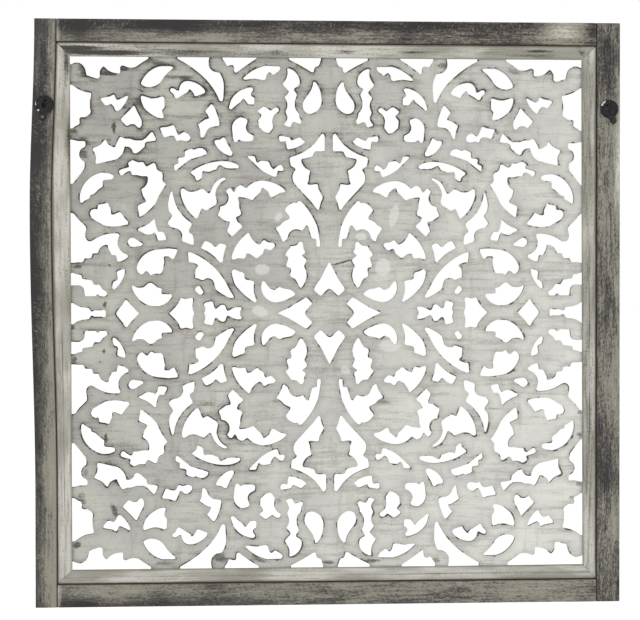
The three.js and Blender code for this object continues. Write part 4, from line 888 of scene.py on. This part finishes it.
def bead_bar(name, section, stations, place, material):
    """A mitred bar: rings of the rounded section from one mitre to the other, closed by flat cut ends."""
    ring = sawn(np.asarray(section, float), BEAD_SOFTNESS, *BEAD_FINENESS)
    n = len(ring)
    inward, depth = (np.broadcast_to(ring[:, i], (len(stations), n)) for i in (0, 1))
    along = np.broadcast_to(stations[:, None], inward.shape)
    points = np.stack(place(inward, depth, along), -1).reshape(-1, 3)
    cap = filled(ring, [np.arange(n)])
    quads = sleeve((len(stations), n))
    triangles = np.vstack([cap[:, ::-1], cap + (len(stations) - 1) * n])
    run = np.stack([inward, depth, along * OPENING_HALF], -1).reshape(-1, 3)
    soil = smudges(run[:, [2, 0]], STAINS[name])
    run[:, 2] += RUN_STEP * len(name)
    return mesh_piece(name, points, quads, triangles, material, (("run", run), ("smudge", soil)))


def keyhole_plate(name, side, material):
    """A keyhole plate: a closed band from the eye's edge to the rim, round by round.

    In polar terms about the eye, the inner edge is the larger of the eye's radius and the slot's reach, and the
    outer edge is the larger of the plate's radius and the lug's. The face is slightly dished, with a rolled rim.
    """
    px, pz, turn = PLATES[side]
    angle = np.linspace(0, 2 * math.pi, PLATE_SIDES, endpoint=False) + math.pi / 2
    sin, cos = np.sin(angle), np.cos(angle)

    def reach_of(direction_sin, distance, radius):
        across = distance * np.sqrt(np.maximum(0, 1 - direction_sin**2))
        end = distance * direction_sin + np.sqrt(np.maximum(0, radius**2 - across**2))
        side_line = radius / np.maximum(np.abs(cos), 1e-6)
        return np.where(direction_sin > 0, np.where(across < radius, np.minimum(end, side_line), side_line), 0)
    slot = np.minimum(reach_of(sin, SLOT_REACH, SLOT_HALF), SLOT_REACH + SLOT_HALF)
    inner = np.maximum(EYE_RADIUS, slot)
    lug = np.where(np.abs(LUG_REACH * cos) < LUG_RADIUS, reach_of(-sin, LUG_REACH, LUG_RADIUS),
                   np.where(sin < 0, LUG_RADIUS / np.maximum(np.abs(cos), 1e-6), 0))
    outer = np.maximum(PLATE_RADIUS, np.minimum(lug, LUG_REACH + LUG_RADIUS))
    front, back = PLATE_Y
    share = np.r_[0, 0.02, EYE_LIP_SHARE, np.linspace(0.12, 1, 34)]
    radius = inner[None] + share[:, None] * (outer - inner)[None]
    rim = np.sqrt(np.maximum(0, 1 - ((radius - PLATE_RADIUS + RIM_RADIUS) / RIM_RADIUS) ** 2))
    rim = rim * (outer < PLATE_RADIUS + 0.5)
    dish = PLATE_DISH * np.clip((radius - EYE_RADIUS) / 6, 0, 1) * np.clip((PLATE_RADIUS - 2 - radius) / 3, 0, 1)
    lip = np.clip(1 - share / EYE_LIP_SHARE, 0, 1)[:, None] * EYE_LIP
    y = front - RIM_RADIUS * rim + dish + lip
    radius = np.vstack([radius, outer[None], inner[None]])
    y = np.vstack([y, np.full((2, len(angle)), back)])
    c, s = math.cos(math.radians(turn)), math.sin(math.radians(turn))
    u, v = radius * cos, radius * sin
    points = np.stack([px + u * c - v * s, y, pz + u * s + v * c], -1).reshape(-1, 3)
    m, n = radius.shape
    quads = sleeve((m, n))
    seam = sleeve((2, n)) + (m - 1) * n
    seam = np.where(seam >= m * n, seam - m * n, seam)
    return mesh_piece(name, points, np.vstack([quads, seam]), [], material, smooth=40)


def round_head_screw(name, side, material):
    """A plate's screw: a profile turned about its axis, with a cross sunk where either direction is near zero."""
    px, pz, turn = PLATES[side]
    t = math.radians(turn)
    cx, cz = px + LUG_REACH * math.sin(t), pz - LUG_REACH * math.cos(t)
    under = PLATE_Y[0] - GAP
    rise = np.linspace(0, math.pi / 2, 16)
    head_radius, head_height = SCREW_HEAD
    shank_radii, shank_depths = zip(*SCREW_SHANK)
    radius = np.r_[0.0, head_radius * np.sin(rise)[1:], shank_radii[0], shank_radii]
    depth = np.r_[under - head_height * np.cos(rise), under, shank_depths]
    angle = np.linspace(0, 2 * math.pi, SCREW_SIDES, endpoint=False)
    u, v = radius[:, None] * np.cos(angle), radius[:, None] * np.sin(angle)
    half_width, reach, sunk = SCREW_CROSS
    cross = np.exp(-(np.minimum(np.abs(u), np.abs(v)) / half_width) ** 2) * (np.hypot(u, v) < reach)
    y = depth[:, None] + sunk * cross * (depth[:, None] < under - 0.5)
    points = np.stack([cx + u, y, cz + v], -1)
    m, n = u.shape
    quads = sleeve((m, n))
    return welded(mesh_piece(name, points.reshape(-1, 3), quads, [], material, smooth=50))


def welded(piece, gap=1e-6):
    """Joins the points that a pole or a seam puts in one place."""
    weld = piece.modifiers.new("Weld", "WELD")
    weld.merge_threshold = gap
    return piece


class Finish:
    """A material whose nodes are added one after another; each call hands back the output it makes."""

    def __init__(self, name):
        self.material = bpy.data.materials.new(name)
        self.material.use_nodes = True
        self.tree = self.material.node_tree
        self.shader = self.tree.nodes["Principled BSDF"]
        self.place = self.tree.nodes.new("ShaderNodeTexCoord").outputs["Object"]
        self.torn = None

    def node(self, kind, inputs=(), output=0, **settings):
        made = self.tree.nodes.new("ShaderNode" + kind)
        for key, value in settings.items():
            setattr(made, key, value)
        for key, value in dict(inputs).items():
            self.put(made.inputs[key], value)
        return made.outputs[output]

    def put(self, socket, value):
        if isinstance(value, bpy.types.NodeSocket):
            self.tree.links.new(value, socket)
        else:
            socket.default_value = value

    def attribute(self, name, output="Fac"):
        made = self.tree.nodes.new("ShaderNodeAttribute")
        made.attribute_name = name
        return made.outputs[output]

    def noise(self, scale, detail=2.0, rough=0.5, shift=0.0, place=None, turn=0.0):
        """Noise of 0 to 1 with this many cells a metre along x, y and z."""
        place = place or self.place
        place = self.node("Mapping", {"Vector": place, "Rotation": (0.0, turn, 0.0)}) if turn else place
        place = self.node("Mapping", {"Vector": place, "Scale": scale, "Location": (shift, shift, shift)})
        return self.node("TexNoise", {"Vector": place, "Scale": 1.0, "Detail": detail, "Roughness": rough})

    def step(self, value, low, high, least=0.0, most=1.0):
        """The value taken smoothly from least at low to most at high."""
        return self.node("MapRange", {"Value": value, "From Min": low, "From Max": high, "To Min": least,
                                      "To Max": most}, interpolation_type="SMOOTHSTEP")

    def maths(self, operation, a, b=0.0):
        return self.node("Math", {0: a, 1: b}, operation=operation)

    def product(self, first, *others):
        for other in others:
            first = self.maths("MULTIPLY", first, other)
        return first

    def total(self, first, *others):
        for other in others:
            first = self.maths("ADD", first, other)
        return first

    def blend(self, share, a, b):
        return self.node("Mix", {0: share, 6: a, 7: b}, 2, data_type="RGBA")

    def torn_place(self):
        """The place pushed about by fine noise, made once, so that a mark measured from it has a ragged outline."""
        if self.torn is None:
            noise = self.node("TexNoise", {"Vector": self.place, "Scale": TEAR_CELLS, "Detail": 3.0}, 1)
            push = self.node("VectorMath", {0: noise, 1: (0.5, 0.5, 0.5)}, operation="SUBTRACT")
            self.torn = self.node("VectorMath", {0: push, 1: TEAR_REACH, 2: self.place}, operation="MULTIPLY_ADD")
        return self.torn

    def dab(self, mark):
        """One mark: its strength in the middle, falling off smoothly to nothing at its outline."""
        x, z, long, wide, turn, strength = mark
        location = (x * MM, 0.0, (z - ORIGIN_HEIGHT) * MM)
        place = self.node("Mapping", {"Vector": self.torn_place(), "Location": location,
                                      "Rotation": (0.0, math.radians(-turn), 0.0),
                                      "Scale": (long * MM, 1000.0, wide * MM)}, vector_type="TEXTURE")
        far = self.node("VectorMath", {0: place}, 1, operation="LENGTH")
        return self.step(far, 0.3, 1.25, strength, 0.0)

    def axis(self, vector, name):
        return self.node("SeparateXYZ", {"Vector": vector}, name)

    def finish(self, color, rough, bump=None, strength=0.2, distance=0.0005, metal=0.0, gloss=0.5):
        self.put(self.shader.inputs["Base Color"], color)
        self.put(self.shader.inputs["Roughness"], rough)
        self.put(self.shader.inputs["Metallic"], metal)
        self.put(self.shader.inputs["Specular IOR Level"], gloss)
        if bump is not None:
            normal = self.node("Bump", {"Height": bump, "Strength": strength, "Distance": distance})
            self.put(self.shader.inputs["Normal"], normal)
        return self.material


def tone(red, green, blue):
    """A paint's colour as the eye reads it, 0 to 255, in the linear values that light is reckoned in."""
    value = np.array([red, green, blue], float) / 255
    linear = np.where(value <= 0.04045, value / 12.92, ((value + 0.055) / 1.055) ** 2.4)
    return (*linear.tolist(), 1.0)


def board_paint():
    """Grey paint over board: cloudy, streaked level, thin and dirty along the sawn edges and on narrow stems."""
    f = Finish("Board paint")
    x, z = f.axis(f.place, "X"), f.total(f.axis(f.place, "Z"), ORIGIN_HEIGHT * MM)
    cloud = f.noise((9, 9, 9), 3, 0.55, 1.7)
    tint = f.noise((20, 20, 30), 3, 0.5, 5.1)
    streak = f.noise((11, 11, 130), 5, 0.66, 3.3)
    upright = f.noise((70, 11, 12), 4, 0.6, 4.4)
    fine = f.noise((60, 60, 640), 3, 0.65, 6.1)
    speck = f.noise((430, 430, 430), 3, 0.7, 8.2)
    broken = f.noise((70, 70, 70), 3, 0.6, 2.4)
    patchy = f.noise((16, 16, 16), 3, 0.55, 11.0)
    grit = f.total(f.product(f.total(fine, -0.5), 0.55), f.product(f.total(speck, -0.5), 0.6))
    slope = f.total(f.product(x, 0.6), f.product(z, -0.3))
    light = f.step(slope, -0.38, 0.4)
    chosen = bpy.context.scene.wall_panel_colors
    color = f.blend(light, (*chosen.board_upper_left, 1.0), (*chosen.board_lower_right, 1.0))

    def lit(upper_left, lower_right):
        """A tone that goes with the light from one corner's to the other's."""
        return f.blend(light, tone(*upper_left), tone(*lower_right))

    color = f.blend(f.step(tint, 0.33, 0.7, 0.0, 0.6), color, lit((148, 143, 142), (196, 191, 191)))
    color = f.blend(f.step(cloud, 0.36, 0.7, 0.0, 0.6), color, lit((184, 184, 173), (218, 219, 211)))
    brushed = f.total(streak, f.product(grit, 0.45), f.product(f.total(patchy, -0.5), 0.3))
    color = f.blend(f.step(brushed, 0.44, 0.78, 0.0, 0.62), color, lit((104, 100, 90), (146, 142, 134)))
    color = f.blend(f.step(f.total(upright, f.product(grit, 0.4)), 0.52, 0.75, 0.0, 0.4), color,
                    lit((112, 108, 98), (166, 162, 154)))
    specked = f.total(speck, f.product(light, -0.04))
    color = f.blend(f.step(specked, 0.54, 0.72, 0.0, 0.3), color, tone(104, 100, 90))

    gap = f.attribute("edge_gap")
    share = f.attribute("open_share")
    narrow = f.step(share, 0.3, 0.8)
    lofty = f.total(f.step(z, 0.1, 0.4, 0.0, 0.16), f.step(x, -0.3, 0.3, 0.14, 0.0), f.product(light, -0.04))
    wear = f.total(patchy, f.product(narrow, 0.22), lofty)
    worn = f.product(f.step(gap, 0.3, 11.0, 1.0, 0.0), f.step(wear, 0.6, 1.05))
    shade = f.product(f.step(gap, 1.0, 10.0, 1.0, 0.0), f.step(patchy, 0.3, 0.6, 0.25, 1.0))
    color = f.blend(f.product(shade, 0.42), color, lit((122, 118, 109), (158, 154, 146)))
    depth = f.axis(f.place, "Y")
    wall_side = f.step(depth, 0.011, 0.015, 1.0, 0.0)
    mark = f.product(f.total(*(f.dab(dab) for dab in SMUDGES if dab[5] > 0)), wall_side)
    level = f.total(worn, mark, f.product(grit, 1.3), f.product(f.total(streak, -0.5), 0.9))
    dirt = f.step(level, 0.08, 1.0, 0.0, 0.9)
    color = f.blend(dirt, color, lit((56, 51, 42), (96, 92, 83)))
    lined = f.total(broken, f.product(patchy, 0.7), f.product(narrow, 0.1), f.product(lofty, 0.45))
    line = f.product(f.step(gap, 0.7, 2.7, 1.0, 0.0), f.step(lined, 0.91, 0.99))
    color = f.blend(line, color, tone(18, 15, 10))
    pale = f.product(f.total(*(f.dab(dab) for dab in SMUDGES if dab[5] < 0)), wall_side)
    color = f.blend(f.step(f.total(f.product(pale, -1.0), f.product(grit, 0.3)), 0.25, 0.6, 0.0, 0.5), color,
                    tone(220, 219, 215))
    wall = f.product(f.step(depth, 0.01, 0.0103), f.step(depth, 0.0184, 0.0186, 1.0, 0.0))
    painted = f.step(f.total(broken, f.product(light, 0.35)), 0.5, 0.75)
    sawn_tone = f.blend(painted, tone(42, 36, 29), tone(150, 146, 137))
    color = f.blend(wall, color, sawn_tone)
    height = f.total(speck, f.product(fine, 0.6))
    return f.finish(color, f.step(cloud, 0.3, 0.7, 0.5, 0.65), height, 0.15, 0.0004, gloss=0.35)


def along_the_piece(f):
    """The place on a bar in metres (across, through and along), and the distance across it in millimetres."""
    run = f.node("VectorMath", {0: f.attribute("run", "Vector"), 1: (MM, MM, MM)}, operation="MULTIPLY")
    return run, f.product(f.axis(run, "X"), 1.0 / MM)


def bead_paint():
    """Cream grey paint rubbed along the bead, with a broken dark groove and bare wood at the outer edge."""
    f = Finish("Bead paint")
    run, across = along_the_piece(f)
    mark = f.attribute("smudge")
    rub = f.noise((260, 260, 14), 4, 0.62, 1.1, run)
    long = f.noise((90, 90, 5), 3, 0.6, 6.4, run)
    cloud = f.noise((30, 30, 9), 3, 0.55, 4.2, run)
    speck = f.noise((460, 460, 330), 3, 0.7, 7.0, run)
    grit = f.total(f.product(f.total(rub, -0.5), 1.0), f.product(f.total(speck, -0.5), 1.1))
    chosen = bpy.context.scene.wall_panel_colors
    color = f.blend(f.step(cloud, 0.35, 0.65), (*chosen.bead_dull, 1.0), (*chosen.bead_pale, 1.0))
    color = f.blend(f.step(f.total(rub, grit), 0.48, 0.8, 0.0, 0.6), color, tone(112, 106, 93))
    color = f.blend(f.step(speck, 0.56, 0.75, 0.0, 0.4), color, tone(104, 97, 84))
    groove = f.product(f.step(f.maths("ABSOLUTE", f.total(across, -9.9)), 0.4, 1.6, 1.0, 0.0),
                       f.step(long, 0.5, 0.64, 0.0, 1.0))
    color = f.blend(f.product(groove, 0.6), color, tone(74, 66, 54))
    bare = f.step(f.total(across, f.product(f.total(long, -0.5), 7.0)), 0.9, 2.6, 1.0, 0.0)
    color = f.blend(f.product(bare, 0.6), color, tone(98, 84, 66))
    inner = f.step(f.total(across, f.product(f.total(rub, -0.5), 4.0)), 17.6, 20.4)
    color = f.blend(f.product(inner, 0.4), color, tone(104, 98, 86))
    dirt = f.step(f.total(mark, f.product(grit, f.step(mark, 0.02, 0.2))), 0.02, 0.8, 0.0, 0.95)
    color = f.blend(dirt, color, tone(40, 35, 28))
    color = f.blend(f.step(f.total(f.product(mark, -1.0), grit), 0.05, 0.7), color, tone(214, 212, 204))
    return f.finish(color, 0.5, rub, 0.25, 0.0004, gloss=0.4)


def frame_wash():
    """Dark wash over timber: olive grey where rubbed, purplish charcoal where thick, and finely scratched, with
    painted shade along the seam by the beads.
    """
    f = Finish("Frame wash")
    run, across = along_the_piece(f)
    mark = f.attribute("smudge")
    cloud = f.noise((38, 38, 12), 6, 0.62, 2.1, run)
    grain = f.noise((330, 330, 24), 4, 0.65, 5.5, run)
    fine = f.noise((560, 560, 200), 4, 0.75, 9.3, run)
    hatch = f.noise((110, 110, 560), 3, 0.65, 3.1, run, turn=0.5)
    patch = f.noise((22, 22, 22), 2, 0.5, 12.0, run)
    rough_side = f.step(f.axis(f.place, "X"), -0.42, 0.42, 1.0, 1.6)
    grit = f.product(f.total(f.product(f.total(grain, -0.5), 0.65), f.total(fine, -0.5)), rough_side)
    slope = f.product(f.total(across, -16.0), -0.006)
    level = f.total(f.product(cloud, 0.8), 0.015, f.product(mark, -1.0), slope, grit)
    chosen = bpy.context.scene.wall_panel_colors
    color = f.blend(f.step(level, 0.1, 0.42), (*chosen.wash_thick, 1.0), tone(84, 79, 74))
    color = f.blend(f.step(level, 0.36, 0.62), color, (*chosen.wash_rubbed, 1.0))
    color = f.blend(f.step(level, 0.68, 1.2), color, tone(200, 195, 184))
    color = f.blend(f.step(fine, 0.5, 0.68, 0.0, 0.35), color, f.blend(0.7, color, tone(26, 24, 20)))
    scratch = f.product(f.step(hatch, 0.54, 0.68), f.step(patch, 0.42, 0.6))
    color = f.blend(f.product(scratch, 0.4), color, tone(172, 166, 152))
    # Painted shade: near black on the inner wall by the beads and within a few millimetres of that seam, where the
    # gap between the parts lies in shade.
    color = f.blend(f.step(across, 0.2, 2.6, 0.95, 0.0), color, tone(26, 22, 17))
    return f.finish(color, f.step(fine, 0.3, 0.7, 0.45, 0.65), f.total(grain, fine), 0.25, 0.0003, gloss=0.4)


def black_steel():
    """Blackened sheet steel with rubbed spots, and painted highlights on the rims of the keyhole plates."""
    f = Finish("Black steel")
    rub = f.noise((240, 240, 240), 3, 0.6, 1.3)
    chosen = bpy.context.scene.wall_panel_colors
    color = f.blend(f.step(rub, 0.52, 0.75), (*chosen.steel, 1.0), tone(66, 64, 66))
    # Painted highlights: the rims of the plates turn near white where the light would catch them, made ragged by the
    # rubbed noise.
    painted_highlight = f.total(*(f.dab(dab) for dab in PAINTED_RIM_HIGHLIGHTS))
    color = f.blend(f.step(f.total(painted_highlight, f.total(rub, -0.5)), 0.2, 0.6), color, tone(225, 225, 225))
    return f.finish(color, f.step(rub, 0.3, 0.7, 0.4, 0.6), rub, 0.1, 0.0002, metal=0.3, gloss=0.3)


def bright_steel():
    """Screw steel gone black, with a painted highlight on the crown of the left screw only."""
    f = Finish("Bright steel")
    dull = f.noise((500, 500, 500), 2, 0.5, 2.2)
    color = f.blend(f.step(dull, 0.42, 0.6), tone(52, 49, 47), tone(34, 32, 30))
    crown_highlight = f.step(f.axis(f.place, "Y"), -0.0039, -0.0038, 1.0, 0.0)
    on_left = f.step(f.axis(f.place, "X"), 0.0, 0.01, 1.0, 0.0)
    # Painted highlight: the crown of the left screw is made pale grey where the light would glint on it.
    color = f.blend(f.product(crown_highlight, on_left), color, tone(150, 148, 144))
    return f.finish(color, 0.5, dull, 0.1, 0.0001, metal=0.2)


class WallPanelSizes(bpy.types.PropertyGroup):
    """Sizes that a user would change, in metres."""
    saw_softness: bpy.props.FloatProperty(name="Saw softness", description="How round the saw leaves the corners of "
                                          "the cut-outs", default=0.00075, min=0.0002, max=0.003, unit="LENGTH")
    arris_ease: bpy.props.FloatProperty(name="Arris ease", description="Width of the rubbed edge round each cut-out",
                                        default=0.00045, min=0.0001, max=0.0008, unit="LENGTH")


def paint(name, description, default):
    """A colour that a user would change, in linear values."""
    return bpy.props.FloatVectorProperty(name=name, description=description, default=tone(*default)[:3], min=0.0,
                                         max=1.0, subtype="COLOR", unit="NONE")


class WallPanelColors(bpy.types.PropertyGroup):
    """Colours of the finishes."""
    board_upper_left: paint("Board, upper left", "Board paint where it is darkest", BOARD_TONES["upper left"])
    board_lower_right: paint("Board, lower right", "Board paint where it is palest", BOARD_TONES["lower right"])
    wash_thick: paint("Wash, thick", "Frame wash where it lies thick", WASH_TONES["thick"])
    wash_rubbed: paint("Wash, rubbed", "Frame wash where it is rubbed", WASH_TONES["rubbed"])
    bead_dull: paint("Bead, dull", "Bead paint in its duller clouds", BEAD_TONES["dull"])
    bead_pale: paint("Bead, pale", "Bead paint in its paler clouds", BEAD_TONES["pale"])
    steel: paint("Steel", "Blackened steel of the keyhole plates", STEEL_TONE)
    floor: paint("Floor", "Floor under the panel", FLOOR_TONE)


def dressed(piece, node):
    """Makes the piece ride on the body and stand for its solid."""
    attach(piece, "root")
    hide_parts(node)


def finish_of(slot_name):
    """The finish of a slot, made the first time it is asked for."""
    makers = {"board_paint": board_paint, "bead_paint": bead_paint, "frame_wash": frame_wash,
              "black_steel": black_steel, "bright_steel": bright_steel}
    label = slot_name.replace("_", " ").capitalize()
    return bpy.data.materials.get(label) or makers[slot_name]()


class WALLPANEL_OT_fretwork_board(bpy.types.Operator):
    """Saws the fretwork board out of its outlines"""
    bl_idname = "wallpanel.fretwork_board"
    bl_label = "Fretwork board"

    def execute(self, context):
        dressed(fretwork_board("Fretwork_board", finish_of("board_paint")), "fretwork_board")
        return {"FINISHED"}


class WALLPANEL_OT_frame_members(bpy.types.Operator):
    """Makes the two stiles and the two rails of the frame"""
    bl_idname = "wallpanel.frame_members"
    bl_label = "Frame members"

    def execute(self, context):
        wash = finish_of("frame_wash")
        dressed(stile("Left_stile", "left", wash), "stile_left")
        dressed(stile("Right_stile", "right", wash), "stile_right")
        dressed(rail("Top_rail", 1, wash), "rail_top")
        dressed(rail("Bottom_rail", -1, wash), "rail_bottom")
        return {"FINISHED"}


class WALLPANEL_OT_beads(bpy.types.Operator):
    """Runs the four mitred beads round the opening"""
    bl_idname = "wallpanel.beads"
    bl_label = "Beads"

    def execute(self, context):
        for side in ("right", "top", "left", "bottom"):
            dressed(bead(f"{side.capitalize()}_bead", side, finish_of("bead_paint")), f"bead_{side}")
        return {"FINISHED"}


class WALLPANEL_OT_hangers(bpy.types.Operator):
    """Stamps the two keyhole plates and turns their screws"""
    bl_idname = "wallpanel.hangers"
    bl_label = "Hangers"

    def execute(self, context):
        for side in ("left", "right"):
            plate = keyhole_plate(f"{side.capitalize()}_keyhole_plate", side, finish_of("black_steel"))
            dressed(plate, f"hanger_{side}")
            screw = round_head_screw(f"{side.capitalize()}_plate_screw", side, finish_of("bright_steel"))
            dressed(screw, f"hanger_screw_{side}")
        return {"FINISHED"}


class WALLPANEL_OT_stage(bpy.types.Operator):
    """Sets the pale floor, the soft studio light and the camera"""
    bl_idname = "wallpanel.stage"
    bl_label = "Stage"

    def execute(self, context):
        scene = bpy.context.scene
        scene.view_settings.view_transform = "Standard"
        mesh = bpy.data.meshes.new("Floor")
        corners = [(FLOOR_HALF * x, FLOOR_HALF * y, FLOOR_Z) for x, y in ((-1, -1), (1, -1), (1, 1), (-1, 1))]
        mesh.from_pydata(corners, [], [(0, 1, 2, 3)])
        floor = bpy.data.objects.new("Floor", mesh)
        scene.collection.objects.link(floor)
        pale = Finish("Pale floor")
        pale.put(pale.shader.inputs["Emission Color"], (1.0, 1.0, 1.0, 1.0))
        pale.put(pale.shader.inputs["Emission Strength"], FLOOR_GLOW)
        cloud = pale.noise((3, 3, 3), 2, 0.5)
        floor_color = (*scene.wall_panel_colors.floor, 1.0)
        mesh.materials.append(pale.finish(pale.blend(pale.step(cloud, 0.3, 0.7), floor_color,
                                                     (0.83, 0.83, 0.83, 1.0)), 0.9))

        world = bpy.data.worlds.new("Soft room")
        scene.world = world
        world.use_nodes = True
        tree = world.node_tree
        tree.nodes.clear()
        room, white = (tree.nodes.new("ShaderNodeBackground") for _ in range(2))
        room.inputs["Strength"].default_value = ROOM_LIGHT
        white.inputs["Strength"].default_value = 1.0
        for lit in (room, white):
            lit.inputs["Color"].default_value = (1.0, 1.0, 1.0, 1.0)
        mixed = tree.nodes.new("ShaderNodeMixShader")
        path = tree.nodes.new("ShaderNodeLightPath")
        out = tree.nodes.new("ShaderNodeOutputWorld")
        tree.links.new(path.outputs["Is Camera Ray"], mixed.inputs[0])
        tree.links.new(room.outputs[0], mixed.inputs[1])
        tree.links.new(white.outputs[0], mixed.inputs[2])
        tree.links.new(mixed.outputs[0], out.inputs["Surface"])

        for label, place, size, watts in LAMPS:
            light = bpy.data.lights.new(label, "AREA")
            light.shape = "SQUARE"
            light.size = size
            light.energy = watts
            lamp = bpy.data.objects.new(label, light)
            lamp.location = place
            aim = Vector((0, 0, -ORIGIN_HEIGHT * MM)) - Vector(place)
            lamp.rotation_euler = aim.to_track_quat("-Z", "Y").to_euler()
            scene.collection.objects.link(lamp)

        camera = bpy.data.objects.new("Camera", bpy.data.cameras.new("Camera"))
        camera.data.sensor_width = 36.0
        camera.data.sensor_fit = "HORIZONTAL"
        camera.data.lens = 36.0 * CAMERA_FOCUS / IMAGE_WIDTH
        yaw, pitch, roll = (math.radians(a) for a in CAMERA_TURN)
        turn = Matrix.Rotation(yaw, 3, "Z") @ Matrix.Rotation(pitch, 3, "X") @ Matrix.Rotation(roll, 3, "Y")
        right, ahead, up = turn.col[0], turn.col[1], turn.col[2]
        place = Vector(CAMERA_PLACE) * MM - Vector((0, 0, ORIGIN_HEIGHT * MM))
        camera.matrix_world = Matrix((
            (right.x, up.x, -ahead.x, place.x), (right.y, up.y, -ahead.y, place.y),
            (right.z, up.z, -ahead.z, place.z), (0, 0, 0, 1)))
        scene.collection.objects.link(camera)
        scene.camera = camera
        return {"FINISHED"}


class WALLPANEL_PT_panel(bpy.types.Panel):
    """Lists the pieces of the wall panel"""
    bl_idname = "WALLPANEL_PT_panel"
    bl_label = "Wall panel"
    bl_space_type = "VIEW_3D"
    bl_region_type = "UI"
    bl_category = "Wall panel"

    def draw(self, context):
        for group in (context.scene.wall_panel_sizes, context.scene.wall_panel_colors):
            for key in group.bl_rna.properties.keys():
                if key not in ("rna_type", "name"):
                    self.layout.prop(group, key)
        for operator in OPERATORS:
            self.layout.operator(operator.bl_idname)


OPERATORS = (WALLPANEL_OT_fretwork_board, WALLPANEL_OT_frame_members, WALLPANEL_OT_beads, WALLPANEL_OT_hangers,
             WALLPANEL_OT_stage)
CLASSES = (WallPanelSizes, WallPanelColors, *OPERATORS, WALLPANEL_PT_panel)


def register():
    for cls in CLASSES:
        bpy.utils.register_class(cls)
    bpy.types.Scene.wall_panel_sizes = bpy.props.PointerProperty(type=WallPanelSizes)
    bpy.types.Scene.wall_panel_colors = bpy.props.PointerProperty(type=WallPanelColors)


def unregister():
    del bpy.types.Scene.wall_panel_colors
    del bpy.types.Scene.wall_panel_sizes
    for cls in reversed(CLASSES):
        bpy.utils.unregister_class(cls)


def main():
    register()
    bpy.ops.wallpanel.fretwork_board()
    bpy.ops.wallpanel.frame_members()
    bpy.ops.wallpanel.beads()
    bpy.ops.wallpanel.hangers()
    bpy.ops.wallpanel.stage()


if __name__ == "__main__":
    main()
